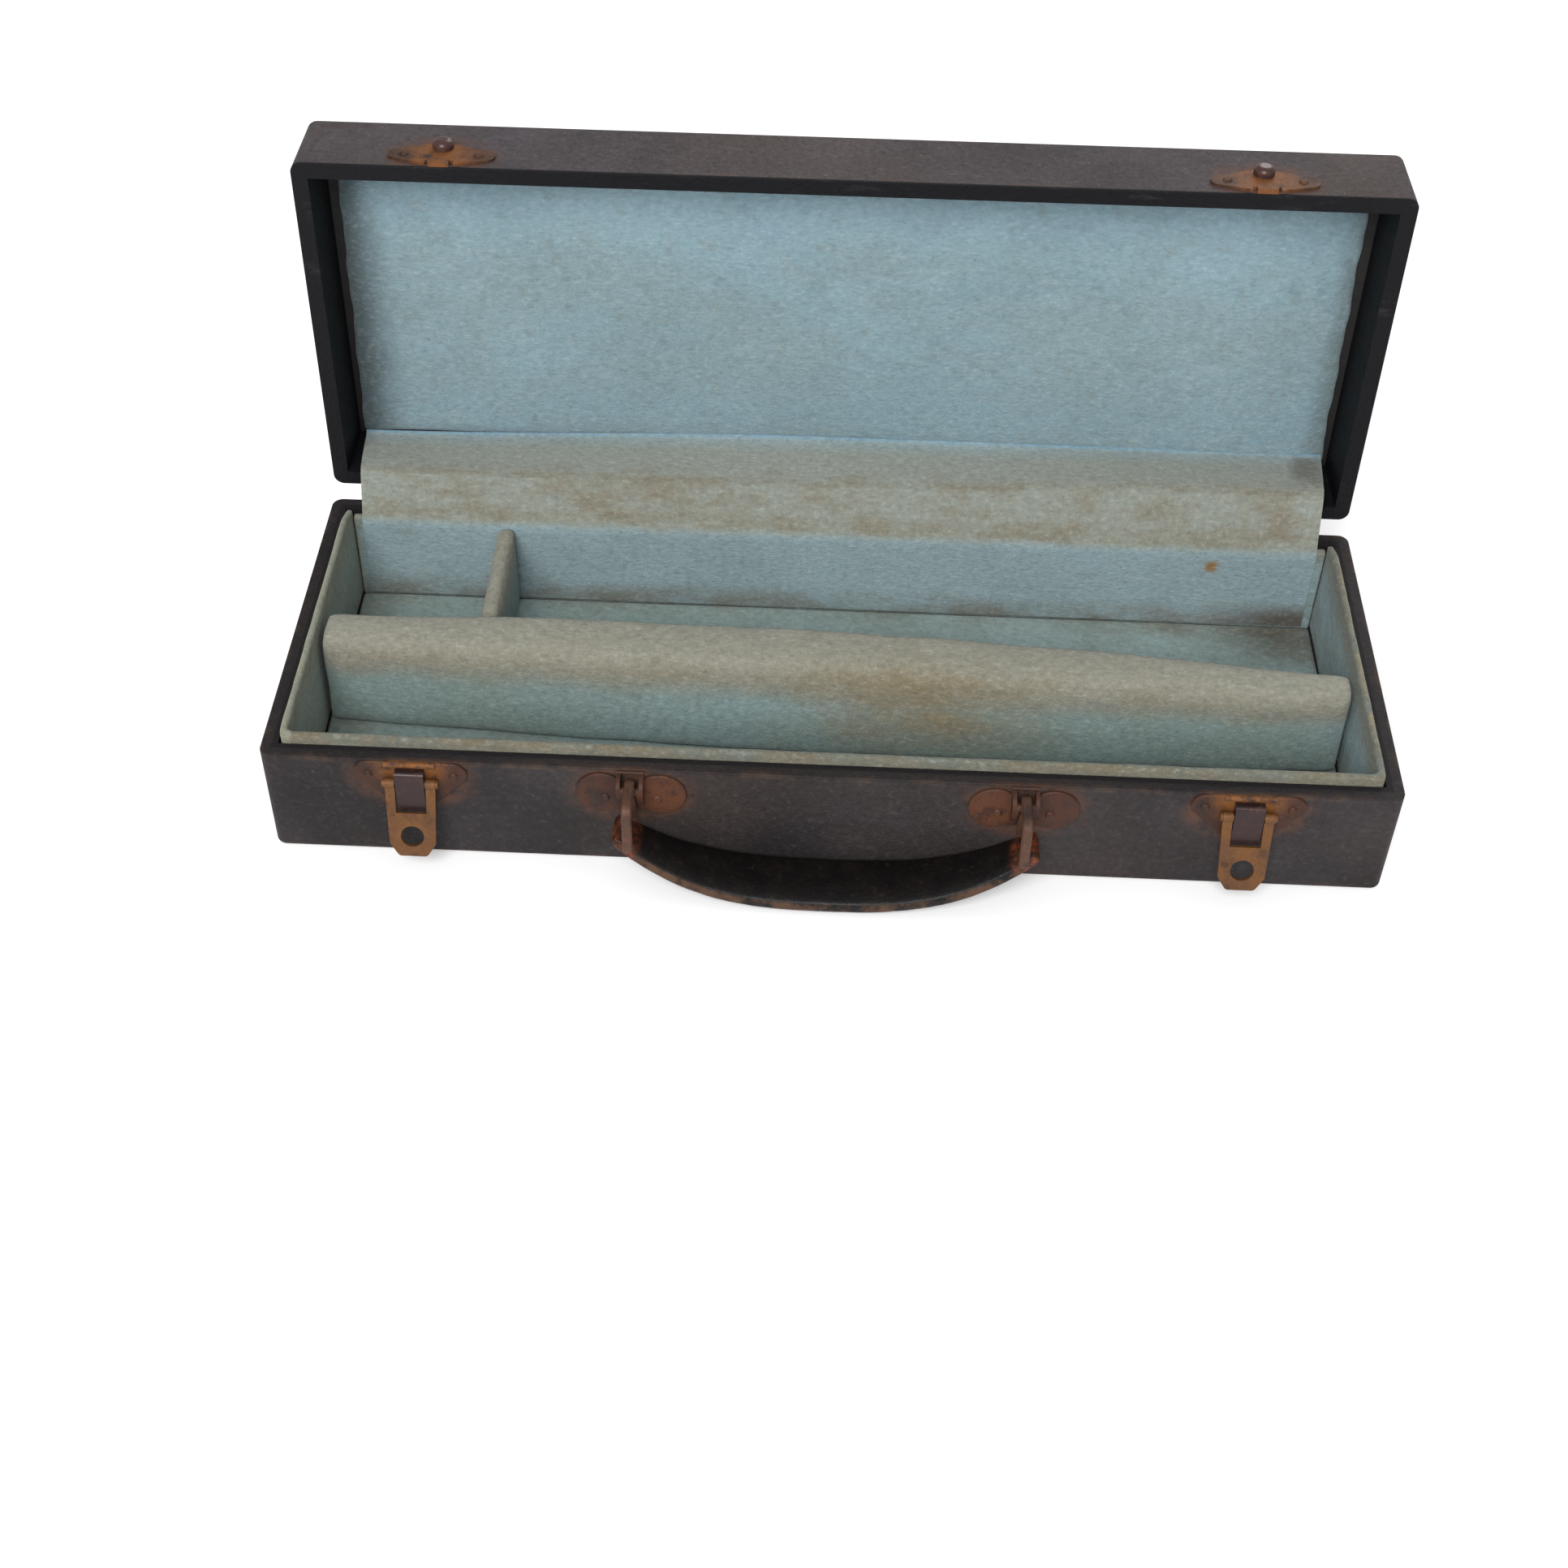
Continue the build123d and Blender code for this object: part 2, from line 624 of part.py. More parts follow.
def build():
    """Every piece of the case; those of the lid are still drawn shut."""
    base = base_box() | lining_boards() | divider() | cross_partition()
    lid = lid_box()
    cloths = hinge_cloths()
    base["base_hinge_cloth"] = cloths["base_hinge_cloth"]
    lid["lid_hinge_cloth"] = cloths["lid_hinge_cloth"]
    own_base = range(0, knuckle_count, 2)
    own_lid = range(1, knuckle_count, 2)
    plate_nails, hinge_nails, strike_nails, lid_hinge_nails, handle_nails = [], [], [], [], []
    for side, sign in sides.items():
        x = sign * hinge_x
        base[side + "_hinge_base_leaf"] = hinge_leaf(x, False, own_base, hinge_pin_radius)
        lid[side + "_hinge_lid_leaf"] = hinge_leaf(x, True, own_lid, hinge_pin_radius + pin_play)
        base[side + "_hinge_pin"] = hinge_pin(x)
        face_y = half_depth + leaf_thickness
        for nail_sign in (-1, 1):
            nail_x = x + nail_sign * hinge_nail_x
            hinge_nails.append(nail(nail_x, face_y, hinge_z - hinge_nail_drop, (0, 1, 0)))
            lid_hinge_nails.append(nail(nail_x, face_y, hinge_z + hinge_nail_drop, (0, 1, 0)))
        x = sign * latch_x
        base[side + "_latch_plate"] = latch_plate(x)
        base[side + "_latch_block"] = latch_block(x)
        base[side + "_latch_lever"] = latch_lever(x)
        base[side + "_latch_pin"] = latch_pin(x)
        plate_nails += nails_on_front(x, latch_nail_x, latch_pivot_z + latch_nail_rise)
        lid[side + "_strike_plate"] = strike_plate(x) - strike_stud(x)
        lid[side + "_strike_stud"] = strike_stud(x)
        lid["lid_front_wall"] -= strike_stud(x)
        lid["lid_covering"] -= strike_stud(x)
        strike_nails += nails_on_front(x, strike_nail_x, rim_z + strike_ear_rise)
        x = sign * handle_half_span
        base[side + "_handle_plate"] = handle_plate(x)
        base[side + "_handle_ring"] = handle_ring(x)
        handle_nails += nails_on_front(x, handle_nail_x, handle_pivot_z - handle_nail_drop)
    base["handle_strap"] = handle_strap()
    front = ["base_covering", "base_front_wall"]
    back = ["base_covering", "base_back_wall"]
    both = list(sides)
    drive(base, "latch_nails", plate_nails, [side + "_latch_plate" for side in both] + front)
    drive(base, "handle_nails", handle_nails, [side + "_handle_plate" for side in both] + front)
    drive(base, "base_hinge_nails", hinge_nails, [side + "_hinge_base_leaf" for side in both] + back)
    lid_back = ["lid_covering", "lid_back_wall"]
    lid_front = ["lid_covering", "lid_front_wall"]
    drive(lid, "lid_hinge_nails", lid_hinge_nails, [side + "_hinge_lid_leaf" for side in both] + lid_back)
    drive(lid, "strike_nails", strike_nails, [side + "_strike_plate" for side in both] + lid_front)
    return base, lid


os.makedirs("parts", exist_ok=True)
base_pieces, lid_pieces = build()
for node, shape in base_pieces.items():
    export_step(shape, "parts/" + node + ".step")
for node, shape in lid_pieces.items():
    export_step(open_lid(shape), "parts/" + node + ".step")
print(len(base_pieces) + len(lid_pieces), "nodes")
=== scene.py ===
import json
import math

import bpy
from mathutils import Matrix, Vector


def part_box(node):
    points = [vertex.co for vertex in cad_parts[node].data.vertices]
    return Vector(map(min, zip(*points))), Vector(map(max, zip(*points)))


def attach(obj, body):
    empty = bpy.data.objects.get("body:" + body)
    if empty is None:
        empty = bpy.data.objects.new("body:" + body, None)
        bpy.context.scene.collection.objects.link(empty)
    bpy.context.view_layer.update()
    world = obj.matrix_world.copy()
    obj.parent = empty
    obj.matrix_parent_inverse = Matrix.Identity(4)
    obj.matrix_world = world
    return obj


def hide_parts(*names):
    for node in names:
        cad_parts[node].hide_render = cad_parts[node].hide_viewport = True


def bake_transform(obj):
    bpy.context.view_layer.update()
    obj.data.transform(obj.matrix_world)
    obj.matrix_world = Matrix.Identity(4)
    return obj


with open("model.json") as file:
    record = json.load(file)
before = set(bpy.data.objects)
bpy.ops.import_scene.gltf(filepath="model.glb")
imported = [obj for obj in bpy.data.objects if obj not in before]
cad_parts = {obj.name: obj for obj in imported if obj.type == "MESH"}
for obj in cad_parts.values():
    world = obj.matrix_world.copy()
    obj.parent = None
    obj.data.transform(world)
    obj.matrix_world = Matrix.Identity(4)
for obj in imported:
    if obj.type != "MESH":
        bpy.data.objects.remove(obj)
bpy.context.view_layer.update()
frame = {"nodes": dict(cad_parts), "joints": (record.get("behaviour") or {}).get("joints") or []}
joints = {joint["name"]: joint for joint in frame["joints"]}
hinge = joints["lid_hinge"]
hingePoint = Vector(hinge["pos_m"])
openAngle = math.radians(hinge["range_deg"][1])
swingOpen = (
    Matrix.Translation(hingePoint)
    @ Matrix.Rotation(-openAngle, 4, "X")
    @ Matrix.Translation(-hingePoint)
)


hair = 1e-5  # places closer than this are the same
longEdge = 0.01  # an edge runs along an axis when it is longer than this there


def clamped(value):
    return min(max(value, 0), 1)


def eased(value, low, high):
    share = clamped((value - low) / (high - low))
    return share * share * (3 - 2 * share)


def pickOnly(piece):
    bpy.ops.object.select_all(action="DESELECT")
    piece.select_set(True)
    bpy.context.view_layer.objects.active = piece


def editMode(piece, selectMode="FACE"):
    pickOnly(piece)
    kinds = ("VERT", "EDGE", "FACE")
    bpy.context.tool_settings.mesh_select_mode = [kind == selectMode for kind in kinds]
    bpy.ops.object.mode_set(mode="EDIT")


def objectMode():
    bpy.ops.object.mode_set(mode="OBJECT")


def finishModifiers(piece):
    pickOnly(piece)
    for modifier in list(piece.modifiers):
        bpy.ops.object.modifier_apply(modifier=modifier.name)


def addBlock(name, low, high):
    # a cube primitive between two corners, with its place in its mesh
    low, high = Vector(low), Vector(high)
    bpy.ops.object.select_all(action="DESELECT")
    bpy.ops.mesh.primitive_cube_add(size=1, location=(low + high) / 2, scale=high - low)
    block = bpy.context.object
    block.name = name
    bpy.ops.object.transform_apply(location=True, rotation=True, scale=True)
    return block


def selectWhere(piece, kind, test):
    # selects faces, edges or vertices by a test on their place and normal, from object mode
    mesh = piece.data
    for part in (mesh.vertices, mesh.edges, mesh.polygons):
        part.foreach_set("select", [False] * len(part))
    if kind == "FACE":
        for face in mesh.polygons:
            face.select = test(face.center, face.normal)
    elif kind == "EDGE":
        for edge in mesh.edges:
            first, second = (mesh.vertices[i].co for i in edge.vertices)
            edge.select = test((first + second) / 2, second - first)
    else:
        for corner in mesh.vertices:
            corner.select = test(corner.co, None)


def roundEdges(piece, radius, segments, test):
    selectWhere(piece, "EDGE", test)
    editMode(piece, "EDGE")
    bpy.ops.mesh.bevel(offset=radius, segments=segments, affect="EDGES")
    objectMode()


def subdivideAlong(piece, axis, cuts):
    selectWhere(piece, "EDGE", lambda middle, along: abs(along[axis]) > longEdge)
    editMode(piece, "EDGE")
    bpy.ops.mesh.subdivide(number_cuts=cuts)
    objectMode()


def remesh(piece, values):
    modifier = piece.modifiers.new("Remesh", "REMESH")
    modifier.mode = "VOXEL"
    modifier.voxel_size = values["voxel"]
    finishModifiers(piece)


def ripple(piece, values):
    # the slow unevenness of felt or leather laid by hand; sink lowers the whole surface
    texture = bpy.data.textures.new(piece.name + "Ripple", "CLOUDS")
    texture.noise_scale = values["rippleSize"]
    texture.noise_depth = 1
    modifier = piece.modifiers.new("Ripple", "DISPLACE")
    modifier.texture = texture
    modifier.texture_coords = "LOCAL"
    modifier.strength = values["ripple"]
    modifier.mid_level = 0.5 + values.get("sink", 0)
    finishModifiers(piece)


def smoothSurface(piece, angle=None):
    pickOnly(piece)
    if angle is None:
        bpy.ops.object.shade_smooth()
    else:
        bpy.ops.object.shade_smooth_by_angle(angle=math.radians(angle))


def subdivideOnce(piece):
    subdivision = piece.modifiers.new("Smooth", "SUBSURF")
    subdivision.levels = subdivision.render_levels = 1
    finishModifiers(piece)


def thicken(piece, thickness, offset, even=False):
    # offset -1 puts the wall inside the faces, 0 to both sides of them
    wall = piece.modifiers.new("Thickness", "SOLIDIFY")
    wall.thickness = thickness
    wall.offset = offset
    wall.use_even_offset = even
    finishModifiers(piece)


def puffUp(piece, cloth, held):
    # swells a remeshed pad with Cloth pressure, pinned where it is glued down
    before = [corner.co.copy() for corner in piece.data.vertices]
    pins = piece.vertex_groups.new(name="glued")
    glued = [corner.index for corner in piece.data.vertices if held(corner.co)]
    pins.add(glued, 1.0, "REPLACE")
    modifier = piece.modifiers.new("Cloth", "CLOTH")
    settings = modifier.settings
    settings.vertex_group_mass = "glued"
    settings.use_pressure = True
    settings.uniform_pressure_force = cloth["pressure"]
    settings.effector_weights.gravity = 0
    settings.mass = cloth["mass"]
    settings.tension_stiffness = cloth["stiffness"]
    settings.compression_stiffness = cloth["stiffness"]
    for step in range(1, cloth["frames"] + 1):
        bpy.context.scene.frame_set(step)
    finishModifiers(piece)
    bpy.context.scene.frame_set(1)
    for corner, start in zip(piece.data.vertices, before):
        move = corner.co - start
        if move.length > cloth["cap"]:
            corner.co = start + move.normalized() * cloth["cap"]
    piece.vertex_groups.clear()
    subdivideOnce(piece)
    smoothSurface(piece)


def paint(piece, material):
    piece.data.materials.clear()
    piece.data.materials.append(material)


def shade(red, green, blue):
    # a colour as a paint chart gives it, turned into the linear values that shaders use
    def linear(value):
        value /= 255
        return value / 12.92 if value <= 0.04045 else ((value + 0.055) / 1.055) ** 2.4
    return (linear(red), linear(green), linear(blue), 1)


def startMaterial(name):
    material = bpy.data.materials.new(name)
    material.use_nodes = True
    tree = material.node_tree
    surface = tree.nodes["Principled BSDF"]
    place = tree.nodes.new("ShaderNodeTexCoord").outputs["Object"]
    return material, tree, surface, place


def fill(tree, socket, value):
    if hasattr(value, "is_linked"):
        tree.links.new(value, socket)
    else:
        socket.default_value = value


def noise(tree, place, scale, detail=3.0, roughness=0.55):
    node = tree.nodes.new("ShaderNodeTexNoise")
    fill(tree, node.inputs["Vector"], place)
    node.inputs["Scale"].default_value = scale
    node.inputs["Detail"].default_value = detail
    node.inputs["Roughness"].default_value = roughness
    return node.outputs["Fac"]


def cells(tree, place, scale, feature="F1"):
    node = tree.nodes.new("ShaderNodeTexVoronoi")
    node.feature = feature
    fill(tree, node.inputs["Vector"], place)
    node.inputs["Scale"].default_value = scale
    return node.outputs["Distance"]


def turned(tree, place, location=(0, 0, 0), rotation=(0, 0, 0), scale=(1, 1, 1)):
    node = tree.nodes.new("ShaderNodeMapping")
    fill(tree, node.inputs["Vector"], place)
    node.inputs["Location"].default_value = location
    node.inputs["Rotation"].default_value = rotation
    node.inputs["Scale"].default_value = scale
    return node.outputs["Vector"]


def maths(tree, operation, first, second=0.0):
    node = tree.nodes.new("ShaderNodeMath")
    node.operation = operation
    fill(tree, node.inputs[0], first)
    fill(tree, node.inputs[1], second)
    return node.outputs["Value"]


def times(tree, *factors):
    product = factors[0]
    for factor in factors[1:]:
        product = maths(tree, "MULTIPLY", product, factor)
    return product


def between(tree, value, low, high):
    # 0 below low, 1 above high and smooth in between; low may be the larger
    node = tree.nodes.new("ShaderNodeMapRange")
    node.interpolation_type = "SMOOTHSTEP"
    fill(tree, node.inputs["Value"], value)
    flip = low > high
    node.inputs["From Min"].default_value = min(low, high)
    node.inputs["From Max"].default_value = max(low, high)
    node.inputs["To Min"].default_value = 1.0 if flip else 0.0
    node.inputs["To Max"].default_value = 0.0 if flip else 1.0
    return node.outputs["Result"]


def mixed(tree, share, first, second):
    node = tree.nodes.new("ShaderNodeMix")
    node.data_type = "RGBA"
    fill(tree, node.inputs["Factor"], share)
    fill(tree, node.inputs[6], first)
    fill(tree, node.inputs[7], second)
    return node.outputs[2]


def tinted(tree, colour, tone, *masks):
    # lays a tone over a colour by the product of the masks and strengths
    return mixed(tree, times(tree, *masks), colour, tone)


def raised(tree, height, distance, strength, below):
    node = tree.nodes.new("ShaderNodeBump")
    node.inputs["Strength"].default_value = strength
    node.inputs["Distance"].default_value = distance
    fill(tree, node.inputs["Height"], height)
    if below is not None:
        fill(tree, node.inputs["Normal"], below)
    return node.outputs["Normal"]


def axesOf(tree, place):
    node = tree.nodes.new("ShaderNodeSeparateXYZ")
    fill(tree, node.inputs[0], place)
    return node.outputs["X"], node.outputs["Y"], node.outputs["Z"]


def finishLook(tree, surface, colour, roughness, specular, relief):
    # relief has a pattern, a depth and a strength for each of its layers, the lowest first
    normal = None
    for pattern, depth, strength in relief:
        normal = raised(tree, pattern, depth, strength, normal)
    fill(tree, surface.inputs["Base Color"], colour)
    fill(tree, surface.inputs["Roughness"], roughness)
    fill(tree, surface.inputs["Specular IOR Level"], specular)
    fill(tree, surface.inputs["Normal"], normal)


alongX, alongY, alongZ = range(3)
alongRun = alongY  # on the piece's own map, from one end of the cloth to the other


def band(axis, start, full, colour, strength, patch, soft, fade=None, across=None):
    # a stain that grows from start to full along an axis and, if given, fades out again;
    # patch and soft are the scale and the two thresholds of its patches, and across holds
    # it between two places in X, with the width of its soft ends
    return {
        "axis": axis,
        "grow": (start, full),
        "colour": colour,
        "strength": strength,
        "patch": patch,
        "soft": soft,
        "fade": fade,
        "across": across,
    }


def stained(tree, place, colour, stains, axes):
    drawn = turned(tree, place, scale=(0.45, 1, 1))  # the patches are longer than they are high
    for stain in stains:
        axis = axes[stain["axis"]]
        masks = [between(tree, axis, *stain["grow"])]
        if stain["fade"]:
            masks.append(between(tree, axis, *stain["fade"]))
        if stain["across"]:
            left, right, width = stain["across"]
            masks.append(between(tree, axes[alongX], left, left + width))
            masks.append(between(tree, axes[alongX], right, right - width))
        masks.append(between(tree, noise(tree, drawn, stain["patch"], 5, 0.65), *stain["soft"]))
        colour = tinted(tree, colour, stain["colour"], *masks, stain["strength"])
    return colour


feltLook = {
    "fuzz": 1300.0,  # the scales of its patterns
    "streak": 800.0,
    "clump": 170.0,
    "mottle": 420.0,
    "cloud": 20.0,
    "drabScale": 110,
    "speckScale": 300,
    "flow": (0.4, 1, 1),  # the fibres lie along X
    "waver": 0.004,  # how far the stains' edges wander
    "waverScale": 60,
    "fuzzDepth": 0.0005,
    "clumpDepth": 0.0014,
    "sheen": 0.15,
    "blotch": 1.0,  # strength of the light and dark mottling
    "pale": (0.72, 0.76, 0.74, 1),
    "deep": (0.02, 0.03, 0.03, 1),
    "drab": shade(112, 108, 88),
    "speck": shade(84, 72, 58),
}


def makeFelt(name, clean, dull, stains, look=feltLook, uvPattern=False):
    material, tree, surface, place = startMaterial(name)
    if uvPattern:
        place = tree.nodes.new("ShaderNodeTexCoord").outputs["UV"]
    fuzz = noise(tree, place, look["fuzz"], 3, 0.7)
    streak = noise(tree, turned(tree, place, scale=look["flow"]), look["streak"], 4, 0.7)
    clump = noise(tree, place, look["clump"], 4, 0.65)
    mottle = noise(tree, place, look["mottle"], 5, 0.75)
    cloud = noise(tree, place, look["cloud"], 4, 0.6)
    colour = mixed(tree, between(tree, cloud, 0.32, 0.70), clean, dull)
    waver = maths(tree, "SUBTRACT", noise(tree, place, look["waverScale"], 5, 0.7), 0.5)
    waver = maths(tree, "MULTIPLY", waver, 2 * look["waver"])
    axes = [maths(tree, "ADD", axis, waver) for axis in axesOf(tree, place)]
    colour = stained(tree, place, colour, stains, axes)
    elsewhere = turned(tree, place, location=(0.3, 0.7, 0.2))
    drab = between(tree, noise(tree, elsewhere, look["drabScale"], 5, 0.75), 0.52, 0.75)
    colour = tinted(tree, colour, look["drab"], drab, 0.30)
    pale = mixed(tree, 0.30, colour, look["pale"])
    deep = mixed(tree, 0.48, colour, look["deep"])
    fibres = [
        (streak, 0.50, 0.72, 0.34, pale),
        (streak, 0.50, 0.28, 0.38, deep),
        (clump, 0.48, 0.28, 0.30, deep),
        (mottle, 0.50, 0.30, 0.55 * look["blotch"], deep),
        (mottle, 0.52, 0.72, 0.40 * look["blotch"], pale),
    ]
    for pattern, low, high, strength, tone in fibres:
        colour = tinted(tree, colour, tone, between(tree, pattern, low, high), strength)
    speck = between(tree, noise(tree, place, look["speckScale"], 2, 0.5), 0.74, 0.80)
    colour = tinted(tree, colour, look["speck"], speck, 0.45)
    surface.inputs["Sheen Weight"].default_value = look["sheen"]
    surface.inputs["Sheen Roughness"].default_value = 0.6
    relief = [
        (clump, look["clumpDepth"], 0.6),
        (streak, look["fuzzDepth"], 0.7),
        (fuzz, look["fuzzDepth"], 0.7),
    ]
    finishLook(tree, surface, colour, 0.95, 0.1, relief)
    return material


leatherLook = {
    "grain": 1150.0,  # the scales of its patterns
    "weave": 420.0,
    "grit": 420,
    "speck": 620,
    "scuff": 130,
    "rub": 65,
    "cloud": 16,
    "warm": 11,
    "waves": 30,
    "roughness": (0.55, 0.75),
    "wornEdge": (0.0026, 0.0002),  # from the edge to where the wear starts and is full
    "turnIn": (0.0030, 0.0042),  # from the outside to where the turned-in cloth starts and is full
    "rimBand": (0.0013, 0.0006),  # the same from the rim, above and below it
    "board": (0.003, 0.005),  # the same from the top or the bottom, where the walls end
    "frontOnly": (-0.0690, -0.0702),  # rust from the fittings marks the front face
    "rustHalo": shade(88, 58, 42),
    "bareEdge": shade(90, 70, 55),
}


def makeLeathercloth(name, centre, halfSize, rimZ, turn, rustSpots, tones, look=leatherLook):
    # centre and halfSize are those of the covered box, rimZ its open edge, all with the lid
    # shut; turn leads from the open lid back to the shut one
    material, tree, surface, place = startMaterial(name)
    boxed = place
    if turn is not None:
        boxed = turned(tree, place, location=tuple(turn["shift"]), rotation=(turn["angle"], 0, 0))
    shifted = turned(tree, boxed, location=[-v for v in centre])
    axes = axesOf(tree, shifted)
    away = [maths(tree, "ABSOLUTE", axis) for axis in axes]
    outer, inmost = look["wornEdge"]
    nearEdge = [between(tree, a, half - outer, half - inmost) for a, half in zip(away, halfSize)]
    pairs = [times(tree, nearEdge[i], nearEdge[(i + 1) % 3]) for i in range(3)]
    edge = maths(tree, "MAXIMUM", maths(tree, "MAXIMUM", pairs[0], pairs[1]), pairs[2])
    rub = between(tree, noise(tree, place, look["rub"], 5, 0.7), 0.44, 0.66)
    cloud = between(tree, noise(tree, place, look["cloud"], 5, 0.62), 0.34, 0.7)
    speck = between(tree, noise(tree, place, look["speck"], 2, 0.5), 0.66, 0.78)
    streaky = turned(tree, place, scale=(0.3, 1, 1))
    scuff = between(tree, noise(tree, streaky, look["scuff"], 5, 0.75), 0.58, 0.76)
    elsewhere = turned(tree, place, location=(0.5, 0.2, 0.9))
    warm = between(tree, noise(tree, elsewhere, look["warm"], 4), 0.42, 0.68)
    grit = noise(tree, place, look["grit"], 5, 0.8)
    colour = mixed(tree, cloud, tones["base"], tones["dusty"])
    marks = [
        (warm, 0.5, "warm"),
        (scuff, 0.22, "scuff"),
        (speck, 0.35, "scuff"),
        (between(tree, grit, 0.52, 0.70), 0.22, "scuff"),
        (between(tree, grit, 0.50, 0.32), 0.45, "inner"),
    ]
    for mark, strength, tone in marks:
        colour = tinted(tree, colour, tones[tone], mark, strength)
    for x, z, reach in rustSpots:
        gap = tree.nodes.new("ShaderNodeVectorMath")
        gap.operation = "DISTANCE"
        fill(tree, gap.inputs[0], turned(tree, boxed, scale=(1, 0, 1.5)))
        gap.inputs[1].default_value = (x, 0, z * 1.5)
        halo = between(tree, gap.outputs["Value"], reach, reach * 0.66)
        patches = between(tree, noise(tree, place, 120, 4), 0.34, 0.62)
        front = between(tree, axes[alongY], *look["frontOnly"])
        colour = tinted(tree, colour, look["rustHalo"], halo, patches, front, 0.6)
    colour = tinted(tree, colour, look["bareEdge"], edge, rub, tones["wear"])
    # the cloth turned in over the walls is dark and clean; the rim band is darkened the same way
    # as painted shade, fully on the lid and in part on the base
    fromRim = maths(tree, "SUBTRACT", axesOf(tree, boxed)[alongZ], rimZ)
    fromRim = maths(tree, "ABSOLUTE", fromRim)
    atRim = between(tree, fromRim, *look["rimBand"])
    depth = 2 * halfSize[alongZ]
    withinWalls = between(tree, fromRim, *(depth - gap for gap in look["board"]))
    outer, full = look["turnIn"]
    inX, inY = (between(tree, away[i], halfSize[i] - outer, halfSize[i] - full) for i in (0, 1))
    inside = times(tree, inX, inY, withinWalls)
    dark = maths(tree, "MAXIMUM", inside, times(tree, atRim, tones["rimShadeShare"]))
    inner = tinted(tree, tones["inner"], tones["dusty"], scuff, 0.25)
    colour = mixed(tree, dark, colour, inner)
    rough = tree.nodes.new("ShaderNodeMapRange")
    fill(tree, rough.inputs["Value"], noise(tree, place, 40, 4))
    rough.inputs["To Min"].default_value, rough.inputs["To Max"].default_value = look["roughness"]
    relief = [
        (noise(tree, place, look["waves"], 3), 0.0016, 0.35),
        (noise(tree, place, look["weave"], 3, 0.6), 0.0006, 0.6),
        (cells(tree, place, look["grain"], "SMOOTH_F1"), 0.0003, 0.7),
    ]
    finishLook(tree, surface, colour, rough.outputs["Result"], 0.14, relief)
    return material


steelLook = {
    "patch": 170,  # the scales of its patterns
    "fine": 900,
    "pit": 700,
    "shadow": 90,
    "roughness": (0.42, 0.3),  # the least, and what the fine rust adds
}


def makeRustySteel(name, bright, brown, dark, metal=0.5, glow=None, look=steelLook):
    # glow is (x, z, radius, colour) of a brighter patch around both mirrored places
    material, tree, surface, place = startMaterial(name)
    patch = noise(tree, place, look["patch"], 6, 0.7)
    fine = noise(tree, place, look["fine"], 5, 0.7)
    pit = cells(tree, place, look["pit"])
    shadow = noise(tree, place, look["shadow"], 5, 0.7)
    colour = mixed(tree, between(tree, patch, 0.36, 0.62), brown, bright)
    colour = mixed(tree, between(tree, shadow, 0.5, 0.72), colour, dark)
    if glow is not None:
        x, z, reach, tone = glow
        across, _, up = axesOf(tree, place)
        across = maths(tree, "SUBTRACT", maths(tree, "ABSOLUTE", across), x)
        up = maths(tree, "SUBTRACT", up, z)
        away = maths(tree, "ADD", times(tree, across, across), times(tree, up, up))
        near = between(tree, maths(tree, "SQRT", away), reach, reach * 0.4)
        colour = tinted(tree, colour, tone, near, between(tree, patch, 0.3, 0.55))
    colour = tinted(tree, colour, dark, between(tree, fine, 0.5, 0.7), 0.5)
    fill(tree, surface.inputs["Metallic"], times(tree, between(tree, patch, 0.3, 0.62), metal))
    least, added = look["roughness"]
    roughness = maths(tree, "ADD", times(tree, fine, added), least)
    relief = [(patch, 0.0003, 0.5), (fine, 0.00012, 0.7), (pit, 0.00008, 0.3)]
    finishLook(tree, surface, colour, roughness, 0.15 + metal / 2, relief)
    return material


def makeEnamel(name, paintColour, wornColour):
    material, tree, surface, place = startMaterial(name)
    worn = between(tree, noise(tree, place, 260, 5, 0.7), 0.52, 0.72)
    colour = mixed(tree, worn, paintColour, wornColour)
    surface.inputs["Metallic"].default_value = 0.25
    roughness = maths(tree, "ADD", times(tree, worn, 0.3), 0.32)
    relief = [(noise(tree, place, 500, 4), 0.0001, 0.5)]
    finishLook(tree, surface, colour, roughness, 0.3, relief)
    return material


def makeWood(name, light, deep):
    material, tree, surface, place = startMaterial(name)
    stretched = turned(tree, place, scale=(0.06, 1, 1))
    grain = noise(tree, stretched, 260, 5, 0.6)
    colour = mixed(tree, between(tree, grain, 0.35, 0.68), light, deep)
    finishLook(tree, surface, colour, 0.7, 0.5, [(grain, 0.0003, 0.4)])
    return material


case = {
    "lidHeight": 0.033,
    "wall": 0.006,
    "strikeRise": 0.009,  # of the strike's middle over the lid's rim
    "handleDrop": 0.006,  # of the handle plate's middle under the rings' bar
}

_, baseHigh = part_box("base_covering")
baseTop = baseHigh.z
caseHalf = Vector((baseHigh.x, baseHigh.y, 0))
lidRim = 2 * hingePoint.z - baseTop  # the hinge lies half way between the two rims
lidHalf = case["lidHeight"] / 2
latchX, _, latchZ = joints["right_latch_lift"]["pos_m"]
latchX = abs(latchX)
strikeZ = lidRim + case["strikeRise"]
plateLow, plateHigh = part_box("right_handle_plate")
handleX = (plateLow.x + plateHigh.x) / 2
handleZ = joints["handle_swing"]["pos_m"][2] - case["handleDrop"]
sides = (-1, 1)

# turning a point of the open lid back to the shut one: p' = R(p - h) + h
closeShift = hingePoint - Matrix.Rotation(openAngle, 3, "X") @ hingePoint
closing = {"shift": closeShift, "angle": openAngle}

